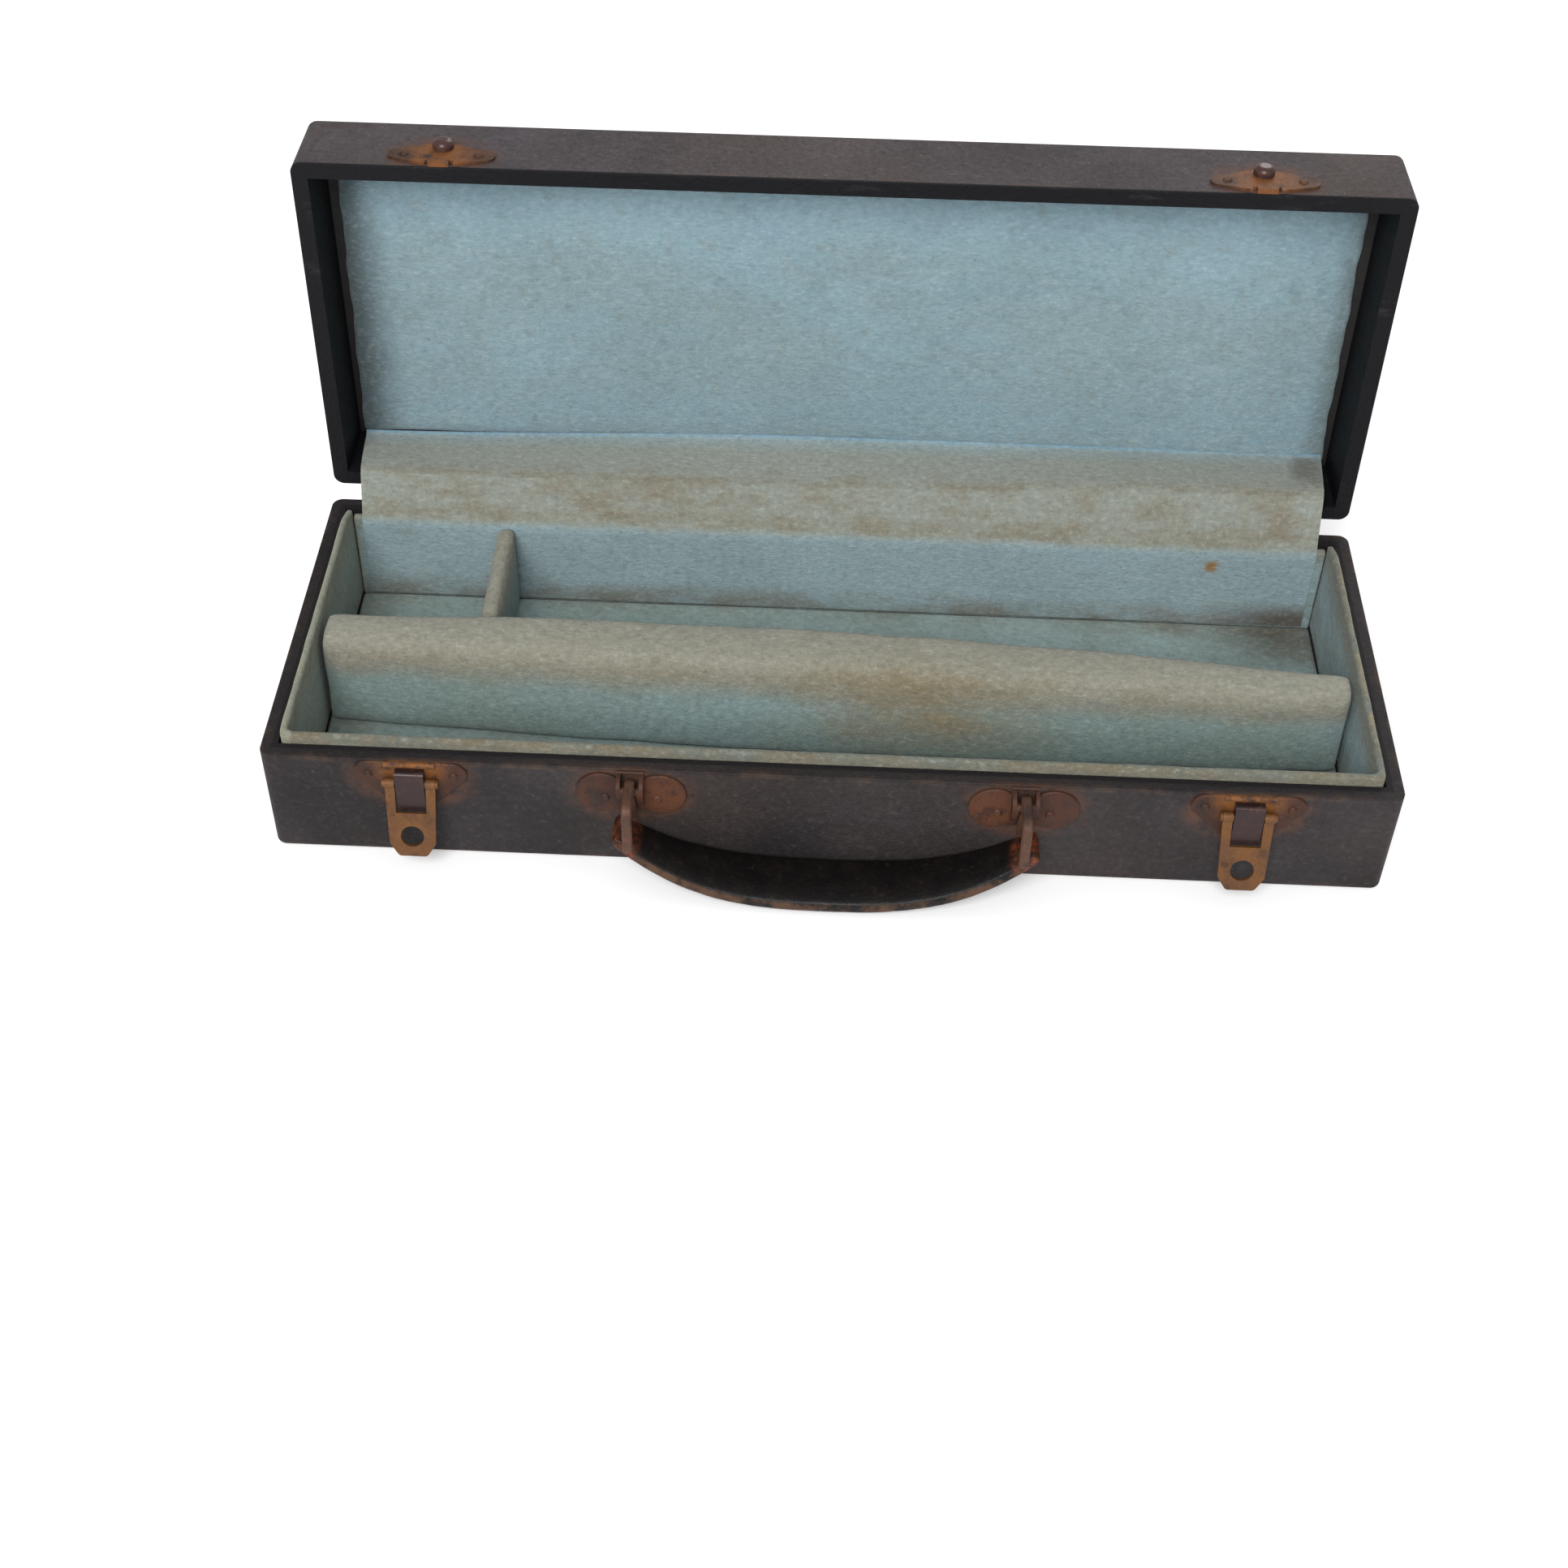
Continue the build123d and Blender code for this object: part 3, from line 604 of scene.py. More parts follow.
blackBase = makeLeathercloth(
    "blackLeatherclothBase",
    (0, 0, baseTop / 2),
    (caseHalf.x, caseHalf.y, baseTop / 2),
    baseTop,
    None,
    [(side * latchX, latchZ, 0.027) for side in sides]
    + [(side * handleX, handleZ, 0.026) for side in sides],
    {
        "base": shade(34, 31, 32),
        "dusty": shade(50, 46, 47),
        "warm": shade(52, 43, 40),
        "inner": shade(27, 25, 26),
        "scuff": shade(92, 86, 85),
        "wear": 0.6,
        # share of the dark inner tone laid on the rim: painted shade
        "rimShadeShare": 0.45,
    },
)
# the base's leathercloth with lighter tones: painted light, for the lid's front wall that faces up
# when the lid is open
blackLidLitCopy = makeLeathercloth(
    "blackLeatherclothLidLitCopy",
    (0, 0, lidRim + lidHalf),
    (caseHalf.x, caseHalf.y, lidHalf),
    lidRim,
    closing,
    [(side * latchX, strikeZ, 0.024) for side in sides],
    {
        "base": shade(55, 50, 52),
        "dusty": shade(68, 63, 66),
        "warm": shade(70, 59, 54),
        "inner": shade(14, 14, 17),
        "scuff": shade(112, 107, 108),
        "wear": 0.8,
        # share of the dark inner tone laid on the rim: painted shade
        "rimShadeShare": 1.0,
    },
)
dirt = shade(92, 80, 58)
tan = shade(134, 122, 94)
beige = shade(127, 131, 122)
blueFelt = makeFelt("blueFelt", shade(124, 150, 161), shade(113, 138, 148), [
    # darker towards the pad's lower end with the lid open: painted shade
    band(alongZ, 0.120, 0.060, shade(112, 136, 145), 0.75, 20, (0.0, 0.3)),
    band(alongZ, 0.080, 0.062, shade(124, 132, 122), 0.30, 70, (0.35, 0.7)),
    band(alongZ, 0.060, 0.100, shade(112, 128, 124), 0.45, 14, (0.35, 0.60), fade=(0.178, 0.140)),
    # dark band along the pad's left edge: painted shadow of the lid's left wall
    band(alongX, -0.1700, -0.1885, shade(54, 66, 70), 0.88, 45, (0.0, 0.4)),
    # darker along the pad's right edge: partly frayed-edge dirt, partly painted shade where the
    # pad curls back
    band(alongX, 0.1800, 0.1925, shade(80, 88, 84), 0.70, 60, (0.1, 0.6)),
], look=dict(feltLook, blotch=0.62))
trayFelt = makeFelt("trayFelt", shade(130, 155, 160), shade(118, 138, 138), [
    band(alongZ, 0.026, 0.006, shade(104, 118, 110), 0.8, 30, (0.25, 0.6)),
    band(alongZ, 0.0130, 0.0060, dirt, 0.6, 90, (0.30, 0.66)),
    band(alongX, 0.172, 0.189, dirt, 0.3, 60, (0.34, 0.66)),
    band(alongZ, 0.034, 0.0485, shade(108, 106, 90), 0.95, 40, (0.1, 0.4)),
    band(alongZ, 0.0465, 0.0500, shade(92, 98, 91), 0.8, 70, (0.25, 0.55)),
    band(alongZ, 0.0480, 0.0505, dirt, 0.45, 120, (0.40, 0.65)),
    band(alongX, 0.1918, 0.1934, tan, 0.7, 120, (0.25, 0.6)),
    band(alongX, -0.1918, -0.1934, tan, 0.7, 120, (0.25, 0.6)),
    band(alongY, -0.0632, -0.0644, shade(112, 98, 74), 0.4, 120, (0.3, 0.6)),
    # lighter on the left board's inner face: painted light
    band(alongX, -0.1885, -0.1905, shade(138, 140, 122), 0.6, 40, (0.0, 0.4)),
])
floorFeltLook = makeFelt("floorFeltLook", shade(132, 152, 150), shade(120, 136, 131), [
    band(alongY, -0.040, -0.056, dirt, 0.75, 55, (0.30, 0.60), across=(-0.3, 0.03, 0.06)),
    band(alongY, 0.050, 0.060, dirt, 0.35, 90, (0.30, 0.66)),
    band(alongY, 0.048, 0.060, dirt, 0.6, 60, (0.25, 0.60), across=(0.090, 0.240, 0.05)),
    # darker in the back right corner: partly dirt, partly painted shade
    band(
        alongY, 0.030, 0.054, shade(60, 56, 46), 0.85, 60, (0.10, 0.50),
        across=(0.140, 0.250, 0.04),
    ),
    band(alongX, 0.168, 0.186, dirt, 0.6, 60, (0.30, 0.66)),
    band(alongX, -0.168, -0.186, dirt, 0.4, 60, (0.30, 0.66)),
])
dividerFelt = makeFelt("dividerFelt", shade(112, 132, 132), shade(108, 124, 118), [
    band(alongZ, 0.029, 0.042, shade(130, 127, 113), 0.92, 40, (0.05, 0.45)),
    band(
        alongZ, 0.006, 0.030, shade(116, 100, 70), 0.9, 40, (0.20, 0.62),
        fade=(0.050, 0.043), across=(-0.032, 0.098, 0.06),
    ),
    band(alongZ, 0.030, 0.038, shade(116, 106, 82), 0.4, 60, (0.30, 0.70), fade=(0.047, 0.041)),
    band(alongZ, 0.014, 0.007, dirt, 0.25, 60, (0.32, 0.62)),
])
rustyPlate = makeRustySteel(
    "rustyPlate",
    shade(64, 38, 26),
    shade(48, 31, 25),
    shade(34, 26, 24),
    0.15,
    (latchX, latchZ + 0.006, 0.016, shade(112, 70, 34)),
)
handleSteel = makeRustySteel(
    "handleSteel",
    shade(66, 39, 27),
    shade(50, 32, 26),
    shade(36, 27, 24),
    0.15,
    (handleX - 0.011, handleZ, 0.013, shade(84, 51, 34)),
)
strikeSteel = makeRustySteel(
    "strikeSteel",
    shade(86, 57, 38),
    shade(64, 45, 35),
    shade(44, 34, 32),
    0.0,
    (latchX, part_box("right_strike_plate")[1].z, 0.014, shade(106, 66, 36)),
)
wornSteel = makeRustySteel(
    "wornSteel", shade(102, 67, 35), shade(84, 53, 28), shade(56, 38, 26), 0.3
)
greySteel = makeRustySteel(
    "greySteel", shade(86, 57, 42), shade(66, 43, 32), shade(42, 31, 27), 0.3
)
purpleEnamel = makeEnamel("purpleEnamel", shade(46, 32, 32), shade(66, 44, 34))
studEnamel = makeEnamel("studEnamel", shade(66, 46, 42), shade(90, 60, 44))
plainWood = makeWood("plainWood", shade(168, 132, 88), shade(120, 86, 52))
# a near-black board: painted shade in the gaps where the lid panel shows beside the lid pad
nearBlackBoard = makeWood("nearBlackBoard", shade(15, 14, 16), shade(24, 21, 20))

# a node gets the first look whose word is in its name and that has one of its endings
nodeLooks = [
    ("", ("base_covering", "bottom_covering"), blackBase),
    ("", ("lid_covering",), blackLidLitCopy),
    ("", ("floor_felt",), floorFeltLook),
    ("", ("lid_panel", "base_bottom_board"), nearBlackBoard),
    ("", ("_wall", "divider_core"), plainWood),
    ("strike", ("_plate", "_nails"), strikeSteel),
    ("handle", ("_plate", "_nails"), handleSteel),
    ("", ("_plate", "_nails"), rustyPlate),
    ("", ("_stud",), studEnamel),
    ("", ("_block",), purpleEnamel),
    ("", ("_ring",), greySteel),
    ("", ("_lever", "_pin", "_leaf"), wornSteel),
]
for name, node in frame["nodes"].items():
    for word, endings, material in nodeLooks:
        if word in name and name.endswith(endings):
            paint(node, material)
            break
print("materials ready")


tray = {
    "round": 0.0011,
    "corner": 0.0024,
    "runOut": 0.011,  # the last stretch of the side boards, where their lip falls to the rim
    "fallFrom": 0.002,  # under the rim
    "voxel": 0.0012,
    "rippleSize": 0.012,
    "ripple": 0.0004,
}
backBoard = {"voxel": 0.0014, "rippleSize": 0.02, "ripple": 0.0003}


def makeTrayLining():
    low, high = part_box("front_lining_board")
    _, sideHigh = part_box("left_lining_board")
    thickness = high.y - low.y
    strip = addBlock("trayLining", (low.x, low.y, low.z), (high.x, sideHigh.y, high.z))
    selectWhere(strip, "FACE", lambda centre, normal: abs(normal.z) > 0.5 or normal.y > 0.5)
    editMode(strip)
    bpy.ops.mesh.delete(type="FACE")
    objectMode()
    roundEdges(
        strip,
        tray["corner"],
        4,
        lambda middle, along: abs(along.z) > longEdge and middle.y < 0,
    )
    thicken(strip, thickness, -1, even=True)
    roundEdges(
        strip,
        tray["round"],
        3,
        lambda middle, along: middle.z > high.z - hair and abs(along.z) < 10 * hair,
    )
    remesh(strip, tray)
    fallFrom = baseTop - tray["fallFrom"]
    for corner in strip.data.vertices:
        slope = clamped((corner.co.y - (sideHigh.y - tray["runOut"])) / tray["runOut"])
        if slope > 0 and corner.co.z > fallFrom:
            drop = (high.z - baseTop) * slope
            corner.co.z -= drop * (corner.co.z - fallFrom) / (high.z - fallFrom)
    ripple(strip, tray)
    smoothSurface(strip)
    paint(strip, trayFelt)
    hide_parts("front_lining_board", "left_lining_board", "right_lining_board")
    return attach(strip, "base")


def makeBackLining():
    low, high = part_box("back_lining_board")
    board = addBlock("backLining", low, high)
    remesh(board, backBoard)
    ripple(board, backBoard)
    smoothSurface(board)
    paint(board, trayFelt)
    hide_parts("back_lining_board")
    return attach(board, "base")


makeTrayLining()
makeBackLining()
print("tray lining ready")


floorSheet = {"voxel": 0.0019, "rippleSize": 0.03, "ripple": 0.0005, "sink": 0.1}


def makeFloorFelt():
    low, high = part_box("floor_felt")
    floorFelt = addBlock("floorFelt", low, high)
    remesh(floorFelt, floorSheet)
    ripple(floorFelt, floorSheet)
    smoothSurface(floorFelt)
    paint(floorFelt, floorFeltLook)
    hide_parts("floor_felt")
    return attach(floorFelt, "base")


makeFloorFelt()
print("floor felt ready")


dividerCloth = {"pressure": 4.0, "mass": 0.3, "stiffness": 15.0, "frames": 20, "cap": 0.0008}
lidCloth = dict(dividerCloth, cap=0.0009)
divider = {
    "thickness": 0.012,
    "skew": 1.4,  # degrees
    "endGap": 0.0002,
    "frontRound": 0.0062,
    "backRound": 0.0024,
    "centreY": -0.0105,
    "lean": 0.0090,  # how far the fullest padding stands out behind its top
    "rise": 0.0022,
    "toe": 0.0060,  # how far it stands out at the front of its foot
    "undercut": 0.0009,
    "front": (-0.4, 1.0),  # in half thicknesses, where each side's swelling starts and is full
    "back": (-0.75, 0.9),
    "hollowTop": 0.75,
    "fullestX": -0.020,
    "reach": 0.212,
    "glued": 0.002,
    "voxel": 0.0022,
    "rippleSize": 0.03,
    "ripple": 0.0012,
}
partition = {
    "round": 0.0028,
    "voxel": 0.0018,
    "meet": 0.024,  # the end that leans with the divider
    "press": 0.0006,
}


def dividerFullness(x):
    # 1 where the padding is thickest, falling off along a parabola towards the ends
    return max(1 - ((x - divider["fullestX"]) / divider["reach"]) ** 2, 0)


def dividerLean(x, share):
    return divider["lean"] * dividerFullness(x) * share


def makeDivider():
    low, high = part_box("divider_cover")
    skew = math.radians(divider["skew"])
    halfLength = (high.x - low.x) / 2 / math.cos(skew) - divider["endGap"]
    half = divider["thickness"] / 2
    pad = addBlock("dividerPad", (-halfLength, -half, low.z), (halfLength, half, high.z))
    for side, radius, segments in ((-1, divider["frontRound"], 6), (1, divider["backRound"], 3)):
        roundEdges(
            pad,
            radius,
            segments,
            lambda middle, along: middle.z > high.z - hair and middle.y * side > half - hair,
        )
    remesh(pad, divider)
    puffUp(pad, dividerCloth, lambda place: place.z < low.z + divider["glued"])
    ripple(pad, divider)
    for corner in pad.data.vertices:
        place = corner.co
        share = clamped((place.z - low.z) / (high.z - low.z))
        middle = dividerFullness(place.x)
        front = eased(-place.y, *(half * edge for edge in divider["front"]))
        back = eased(place.y, *(half * edge for edge in divider["back"]))
        hollow = math.sin(math.pi * min(share / divider["hollowTop"], 1)) * (1 - middle)
        place.y += back * dividerLean(place.x, share) + front * divider["undercut"] * hollow
        place.y -= front * divider["toe"] * middle * (1 - share)
        place.z += divider["rise"] * middle * share
    turn = Matrix.Rotation(-skew, 4, "Z")
    pad.data.transform(Matrix.Translation((0, divider["centreY"], 0)) @ turn)
    paint(pad, dividerFelt)
    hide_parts("divider_cover")
    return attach(pad, "base")


def makePartition():
    low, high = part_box("cross_partition")
    pad = addBlock("partitionPad", low, high)
    roundEdges(
        pad,
        partition["round"],
        4,
        lambda middle, along: middle.z > high.z - hair and abs(along.y) > longEdge,
    )
    remesh(pad, partition)
    puffUp(pad, dividerCloth, lambda place: place.z < low.z + divider["glued"])
    for corner in pad.data.vertices:
        place = corner.co
        share = clamped((place.z - low.z) / (high.z - low.z))
        near = eased(low.y + partition["meet"] - place.y, 0, partition["meet"])
        place.y += (dividerLean(place.x, share) + partition["press"]) * near
    paint(pad, dividerFelt)
    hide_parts("cross_partition")
    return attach(pad, "base")


lidPad = {
    "thickness": 0.0035,
    "gap": 0.0006,
    "round": 0.0026,
    "panelZ": 0.0753,  # the panel's inner face, with the lid shut
    "glued": 0.0006,
    "narrowing": 0.0022,  # of each end towards the front
    "sideWave": 0.00025,
    "waves": (190, 470),  # of the cut ends, along Y
    "waveDrift": 9,
    "secondWave": 0.6,
    "voxel": 0.0024,
    "rippleSize": 0.045,
    "ripple": 0.0009,
}


def makeLidPad():
    halfX = caseHalf.x - case["wall"] - lidPad["gap"]
    halfY = caseHalf.y - case["wall"] - lidPad["gap"]
    low = (-halfX, -halfY, lidPad["panelZ"] - lidPad["thickness"])
    high = (halfX, halfY, lidPad["panelZ"])
    pad = addBlock("lidPad", low, high)
    roundEdges(pad, lidPad["round"], 4, lambda middle, along: middle.z < low[2] + hair)
    remesh(pad, lidPad)
    puffUp(pad, lidCloth, lambda place: place.z > high[2] - lidPad["glued"])
    ripple(pad, lidPad)
    slow, fast = lidPad["waves"]
    second = lidPad["secondWave"]
    for corner in pad.data.vertices:
        place = corner.co
        front = (halfY - place.y) / (2 * halfY)
        wave = math.sin(place.y * slow)
        wave += second * math.sin(place.y * fast + place.x * lidPad["waveDrift"])
        shrink = lidPad["narrowing"] * front + lidPad["sideWave"] * (wave + 1 + second)
        place.x *= 1 - max(shrink, 0) / halfX
    pad.data.transform(swingOpen)
    paint(pad, blueFelt)
    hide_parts("lid_lining_pad")
    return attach(pad, "lid")


makeDivider()
makePartition()
makeLidPad()
print("padded pieces ready")


cloth = {
    "thickness": 0.0008,
    "columns": 190,
    "rowCounts": (19, 1, 9, 12, 2),  # up the board, over it, to the rim, to the seam, tucked in
    "offBoard": 0.0005,
    "turn": (0.0022, 0.0006),  # its way over the board's top, and where the turn starts
    "rimClear": 0.0008,  # from the lid's wall, at the rim and at the seam
    "seamClear": 0.0014,
    "creaseRise": 0.0048,  # what the fold adds to these, and between which places in X
    "creaseRuns": (-0.02, 0.16),
    "seamRise": 0.0046,
    "seamRuns": (-0.185, -0.01),
    "tuck": 0.0014,
    "overPad": 0.0005,
    "pucker": 0.00035,
    "waves": ((1, 61, 0), (0.6, 173, 1.3), (0.35, 402, 0.4)),  # size, pace and start
    "waveShift": 1.6,
    "liftBack": 0.3,
    "flare": 0.018,  # how much wider the cloth is at the seam than at the tray
    "smoothAngle": 50,
}


def clothLine(x):
    # the strip's bends (y, z) with the lid open: it lies flat on the lid's wall at the left
    # end, and rides over a thick fold of the lining further right
    low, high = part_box("base_hinge_cloth")
    faceY = low.y + cloth["offBoard"]
    half = cloth["thickness"] / 2
    topZ = high.z - half
    over, start = cloth["turn"]
    innerWall = caseHalf.y - case["wall"] - lidPad["gap"]
    padFace = lidPad["panelZ"] - lidPad["thickness"]
    crease = cloth["rimClear"] + cloth["creaseRise"] * eased(x, *cloth["creaseRuns"])
    seam = cloth["seamClear"] + cloth["seamRise"] * eased(x, *cloth["seamRuns"])

    def onLid(y, z):
        place = swingOpen @ Vector((0, y, z))
        return (place.y, place.z)

    return [
        (faceY, low.z + half),
        (faceY, topZ - start),
        (faceY + over, topZ + half),
        onLid(innerWall - crease, lidRim - half),
        onLid(innerWall - seam, padFace - cloth["overPad"]),
        onLid(innerWall - seam - cloth["tuck"], padFace - half),
    ]


def clothRows(x):
    points = clothLine(x)
    rows = [points[0]]
    for first, second, count in zip(points, points[1:], cloth["rowCounts"]):
        for index in range(1, count + 1):
            share = index / count
            rows.append(tuple(a + (b - a) * share for a, b in zip(first, second)))
    for _ in range(2):
        inner = zip(rows, rows[1:], rows[2:])
        rows[1:-1] = [tuple((a + 2 * b + c) / 4 for a, b, c in zip(*three)) for three in inner]
    return rows


def pucker(x, share):
    # shallow cross ripples of the free stretch, strongest half way over the gap
    belly = math.sin(math.pi * clamped(share))
    wave = sum(size * math.sin(x * pace + start) for size, pace, start in cloth["waves"])
    return cloth["pucker"] * belly * (wave + cloth["waveShift"])


def hingeLook(shelf, crease, seam):
    # the three places are the runs up to the board's top, the rim's crease and the seam
    brown = shade(106, 92, 68)
    stains = [
        band(
            alongRun, 0.0262, 0.0292, shade(124, 92, 48), 1.0, 330, (0.28, 0.46),
            fade=(0.0336, 0.0304), across=(0.1432, 0.1516, 0.0034),
        ),
        band(
            alongRun, shelf - 0.005, shelf - 0.0005, beige, 0.95, 40, (0.05, 0.30),
            fade=(seam + 0.004, seam - 0.010),
        ),
        band(
            alongRun, shelf - 0.003, shelf, shade(104, 94, 70), 0.6, 140, (0.25, 0.70),
            fade=(shelf + 0.0060, shelf + 0.001),
        ),
        band(
            alongRun, crease - 0.0014, crease - 0.0002, shade(104, 98, 80), 0.45, 60, (0.30, 0.65),
            fade=(crease + 0.0030, crease + 0.0006),
        ),
        band(
            alongRun, shelf, shelf + 0.004, shade(108, 94, 70), 0.45, 130, (0.40, 0.68),
            fade=(crease + 0.012, crease),
        ),
        band(
            alongRun, shelf, shelf + 0.003, brown, 0.5, 60, (0.36, 0.62),
            fade=(crease + 0.004, crease), across=(-0.120, -0.045, 0.03),
        ),
        band(
            alongRun, shelf, shelf + 0.003, brown, 0.5, 60, (0.36, 0.62),
            fade=(crease + 0.004, crease), across=(0.160, 0.180, 0.01),
        ),
        band(
            alongRun, crease, crease + 0.006, shade(70, 64, 54), 0.6, 90, (0.35, 0.60),
            across=(0.172, 0.190, 0.006),
        ),
        band(alongRun, seam - 0.0002, seam + 0.0006, shade(96, 134, 158), 0.6, 60, (0.2, 0.6)),
        band(alongRun, 0.014, 0.0, dirt, 0.7, 60, (0.34, 0.62)),
        # darker in the back right corner, at the floor: partly dirt, partly painted shade
        band(
            alongRun, 0.014, 0.003, shade(66, 56, 42), 0.9, 70, (0.15, 0.48),
            across=(0.140, 0.250, 0.04),
        ),
    ]
    look = dict(feltLook, waver=0.0018)
    clean, dull = shade(128, 148, 153), shade(120, 139, 143)
    return makeFelt("hingeFelt", clean, dull, stains, look, uvPattern=True)


def makeHingeCloth():
    low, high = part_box("base_hinge_cloth")
    rows = clothRows(0)
    runs = [0.0]
    for first, second in zip(rows, rows[1:]):
        runs.append(runs[-1] + math.dist(first, second))
    bpy.ops.object.select_all(action="DESELECT")
    bpy.ops.mesh.primitive_plane_add(size=1, location=(0, rows[0][0], rows[0][1]))
    strip = bpy.context.object
    strip.name = "hingeCloth"
    strip.scale = (high.x - low.x, 1, 1)
    bpy.ops.object.transform_apply(location=True, rotation=True, scale=True)
    selectWhere(strip, "VERT", lambda place, _: place.y > rows[0][0])
    editMode(strip, "VERT")
    bpy.ops.mesh.delete(type="VERT")
    bpy.ops.mesh.select_all(action="SELECT")
    bpy.ops.mesh.subdivide(number_cuts=cloth["columns"])
    objectMode()
    for corner in strip.data.vertices:
        corner.co.y, corner.co.z = rows[0]
    editMode(strip, "EDGE")
    bpy.ops.mesh.select_all(action="SELECT")
    for first, second in zip(rows, rows[1:]):
        step = (0, second[0] - first[0], second[1] - first[1])
        bpy.ops.mesh.extrude_region_move(TRANSFORM_OT_translate={"value": step})
    objectMode()
    rowOf = []
    for corner in strip.data.vertices:
        place = (corner.co.y, corner.co.z)
        rowOf.append(min(range(len(rows)), key=lambda index: math.dist(rows[index], place)))
    layer = strip.data.uv_layers[0]
    for loop in strip.data.loops:
        x = strip.data.vertices[loop.vertex_index].co.x
        layer.data[loop.index].uv = (x, runs[rowOf[loop.vertex_index]])
    shelf, crease, seam = (runs[sum(cloth["rowCounts"][:count])] for count in (2, 3, 4))
    columns = {}
    for corner, row in zip(strip.data.vertices, rowOf):
        x = corner.co.x
        if x not in columns:
            columns[x] = clothRows(x)
        share = (runs[row] - shelf) / (seam - shelf)
        lift = pucker(x, share)
        corner.co.x = x * (1 + cloth["flare"] * clamped(share))
        corner.co.y, corner.co.z = columns[x][row]
        corner.co.y -= lift * cloth["liftBack"]
        corner.co.z += lift
    thicken(strip, cloth["thickness"], 0)
    smoothSurface(strip, cloth["smoothAngle"])
    paint(strip, hingeLook(shelf, crease, seam))
    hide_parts("base_hinge_cloth", "lid_hinge_cloth")
    print("hinge cloth length", round(runs[-1], 4))
    points = clothLine(0)
    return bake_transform(strip)


makeHingeCloth()
print("hinge cloth ready")


strap = {
    "reach": 0.074,
    "ringX": 0.069,
    "ringOver": 0.0011,  # the strap's middle over the ring's lowest point
    "curl": 2.8,  # the power by which it rises towards its ends
    "endWidth": 0.0127,
    "midWidth": 0.0215,
    "endThick": 0.0056,
    "midThick": 0.0068,
    "edgeThick": 0.62,  # share of the thickness at the sewn edges
    "crown": 3.2,
    "tip": (0.985, 0.7),  # where the flat tip starts, and its share of the thickness
    "groundGap": 0.0007,
    "frontGap": 0.0002,
    "cuts": (96, 11, 2),
    "rippleSize": 0.01,
    "ripple": 0.0003,
}
strapLeather = {
    "rough": 90,  # the scales of its patterns
    "fine": 420,
    "grain": 900,
    "dents": 120,
    "edge": (0.965, 0.998),  # across the strap, from its middle line
    "fold": (0.0650, 0.0695),  # along it, where the rings rust through
    "black": shade(9, 7, 7),
    "brown": shade(18, 13, 12),
    "rubbed": shade(66, 48, 38),
    "bareEdge": shade(74, 52, 38),
    "rust": (shade(54, 31, 22), shade(112, 52, 26)),
}


def strapLook():
    material, tree, surface, place = startMaterial("handleLeather")
    look = strapLeather
    along, across, _ = axesOf(tree, tree.nodes.new("ShaderNodeTexCoord").outputs["UV"])
    edge = between(tree, maths(tree, "ABSOLUTE", across), *look["edge"])
    fold = between(tree, maths(tree, "ABSOLUTE", along), *look["fold"])
    rough = noise(tree, place, look["rough"], 5, 0.7)
    fine = noise(tree, place, look["fine"], 5, 0.7)
    colour = mixed(tree, between(tree, rough, 0.4, 0.68), look["black"], look["brown"])
    colour = tinted(tree, colour, look["rubbed"], between(tree, fine, 0.56, 0.72), 0.3)
    colour = tinted(tree, colour, look["bareEdge"], edge, between(tree, rough, 0.40, 0.62))
    rust = mixed(tree, between(tree, fine, 0.44, 0.64), *look["rust"])
    colour = tinted(tree, colour, rust, fold, between(tree, rough, 0.28, 0.52))
    roughness = maths(tree, "ADD", times(tree, rough, 0.35), 0.3)
    relief = [
        (cells(tree, place, look["grain"], "SMOOTH_F1"), 0.0002, 0.5),
        (noise(tree, place, look["dents"], 4), 0.0006, 0.5),
    ]
    finishLook(tree, surface, colour, roughness, 0.2, relief)
    return material


def makeStrap():
    _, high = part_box("handle_strap")
    ringLow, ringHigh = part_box("right_handle_ring")
    limbZ = ringLow.z + strap["ringOver"]
    ringY = (ringLow.y + ringHigh.y) / 2
    midZ = strap["groundGap"] + strap["midThick"] / 2
    midY = high.y - strap["midWidth"] / 2 - strap["frontGap"]
    # its width and thickness run from -1 to 1 at first, and are scaled along its length
    piece = addBlock("handleStrap", (-strap["reach"], -1, -1), (strap["reach"], 1, 1))
    for axis, cuts in enumerate(strap["cuts"]):
        subdivideAlong(piece, axis, cuts)
    layer = piece.data.uv_layers[0]
    for loop in piece.data.loops:
        place = piece.data.vertices[loop.vertex_index].co
        layer.data[loop.index].uv = (place.x, place.y)
    tipFrom, tipThick = strap["tip"]
    for corner in piece.data.vertices:
        x, across, up = corner.co
        share = min(abs(x) / strap["reach"], 1)
        fullness = 1 - share ** strap["curl"]
        width = strap["endWidth"] + (strap["midWidth"] - strap["endWidth"]) * fullness
        thick = strap["endThick"] + (strap["midThick"] - strap["endThick"]) * fullness
        crown = 1 - abs(across) ** strap["crown"]
        thick *= strap["edgeThick"] + (1 - strap["edgeThick"]) * crown
        if share > tipFrom:
            thick *= tipThick
        along = abs(x) / strap["ringX"]
        rise = along ** strap["curl"]
        slope = strap["curl"] * (limbZ - midZ) / strap["ringX"] * along ** (strap["curl"] - 1)
        normal = Vector((-math.copysign(slope, x), 0, 1)).normalized()
        centre = Vector((x, ringY + (midY - ringY) * fullness, midZ + (limbZ - midZ) * rise))
        corner.co = centre + Vector((0, across * width / 2, 0)) + normal * (up * thick / 2)
    subdivideOnce(piece)
    ripple(piece, strap)
    smoothSurface(piece)
    paint(piece, strapLook())
    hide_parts("handle_strap")
    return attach(piece, "handle")


makeStrap()
print("handle ready")


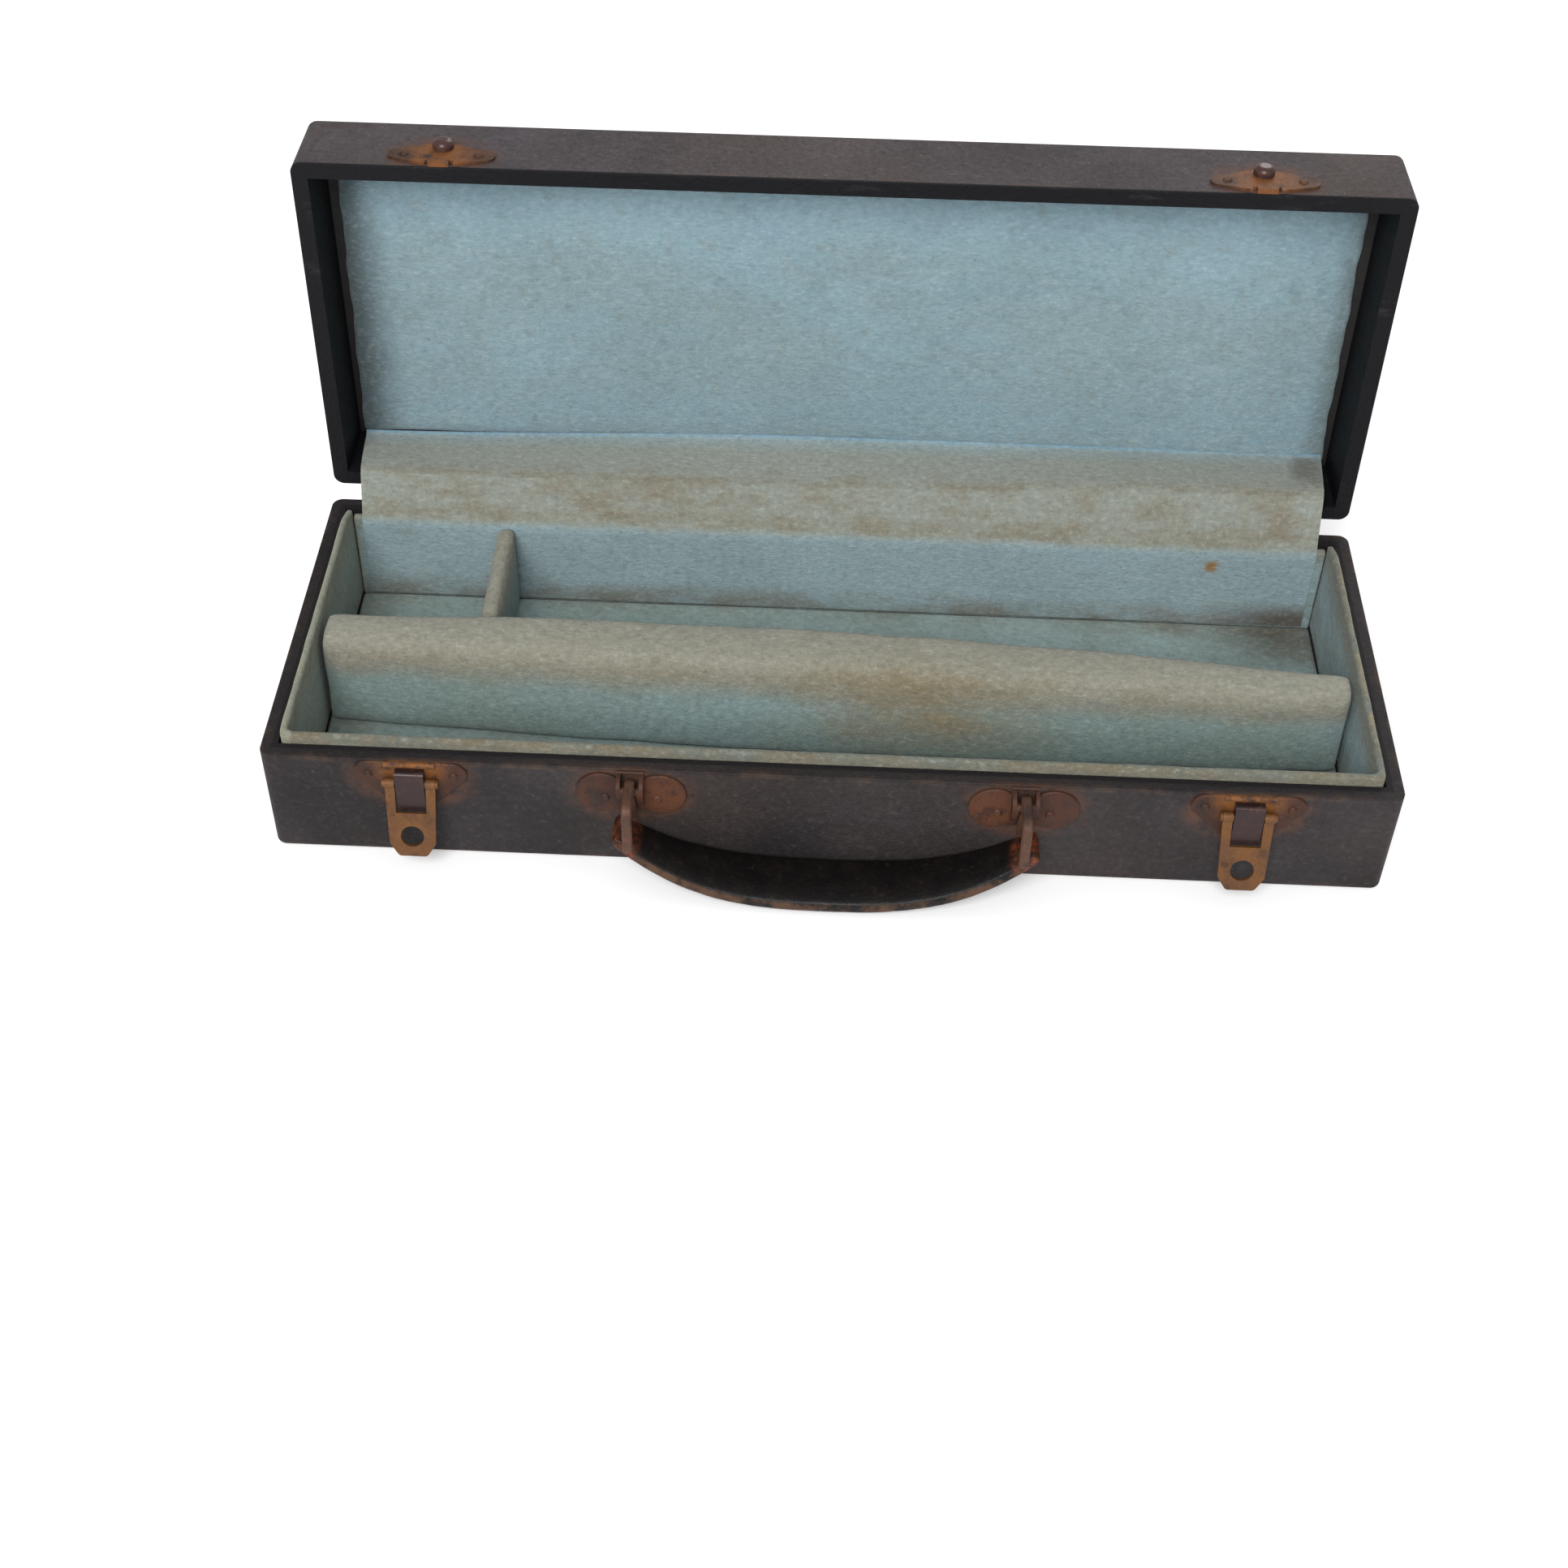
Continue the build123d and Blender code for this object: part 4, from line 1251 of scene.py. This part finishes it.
studio = {
    "floorSize": 12,
    "floorZ": -0.0002,
    "floorTone": (0.93, 0.93, 0.93, 1),
    "floorRoughness": 0.9,
    "sky": 0.58,
    "aim": (0, 0.02, 0.05),
    "lamps": {
        "keyLight": {"place": (-0.5, -2.6, 2.5), "size": 2.2, "power": 150.0},
        "backLight": {"place": (0.9, 2.7, 1.9), "size": 2.0, "power": 42.0},
    },
}


def makeStage():
    bpy.ops.object.select_all(action="DESELECT")
    bpy.ops.mesh.primitive_plane_add(size=studio["floorSize"], location=(0, 0, studio["floorZ"]))
    ground = bpy.context.object
    ground.name = "paleFloor"
    material, _, surface, _ = startMaterial("paleFloor")
    surface.inputs["Base Color"].default_value = studio["floorTone"]
    surface.inputs["Roughness"].default_value = studio["floorRoughness"]
    paint(ground, material)


def makeLight(name, lamp):
    light = bpy.data.lights.new(name, "AREA")
    light.shape = "DISK"
    light.size = lamp["size"]
    light.energy = lamp["power"]
    holder = bpy.data.objects.new(name, light)
    bpy.context.scene.collection.objects.link(holder)
    holder.location = lamp["place"]
    towards = Vector(studio["aim"]) - Vector(lamp["place"])
    holder.rotation_euler = towards.to_track_quat("-Z", "Y").to_euler()


def makeLights():
    world = bpy.data.worlds.new("softStudio")
    bpy.context.scene.world = world
    world.use_nodes = True
    sky = world.node_tree.nodes["Background"]
    sky.inputs["Color"].default_value = (1, 1, 1, 1)
    sky.inputs["Strength"].default_value = studio["sky"]
    for name, lamp in studio["lamps"].items():
        makeLight(name, lamp)


camera = {
    "place": (-0.0020, -0.6047, 0.6074),
    "target": (-0.02491, -0.01406, 0.0600),
    "roll": 0.69,
    "focal": 2734.9,  # focal length, frame and centre in pixels
    "frame": 1932,
    "centre": (941.96, 784.03),
    "sensor": 36.0,
    "clip": (0.05, 50),
}


def makeCamera():
    data = bpy.data.cameras.new("studioCamera")
    eye = bpy.data.objects.new("studioCamera", data)
    bpy.context.scene.collection.objects.link(eye)
    place = Vector(camera["place"])
    forward = (Vector(camera["target"]) - place).normalized()
    level = forward.cross(Vector((0, 0, 1))).normalized()
    upright = level.cross(forward)
    roll = math.radians(camera["roll"])
    right = level * math.cos(roll) + upright * math.sin(roll)
    up = right.cross(forward)
    turn = Matrix((right, up, -forward)).transposed().to_4x4()
    eye.matrix_world = Matrix.Translation(place) @ turn
    data.sensor_width = camera["sensor"]
    data.sensor_fit = "HORIZONTAL"
    data.lens = camera["focal"] / camera["frame"] * camera["sensor"]
    half = camera["frame"] / 2
    data.shift_x = (half - camera["centre"][0]) / camera["frame"]
    data.shift_y = (camera["centre"][1] - half) / camera["frame"]
    data.clip_start, data.clip_end = camera["clip"]
    bpy.context.scene.camera = eye


makeStage()
makeLights()
makeCamera()
bpy.context.scene.view_settings.view_transform = "Standard"
print("stage ready")
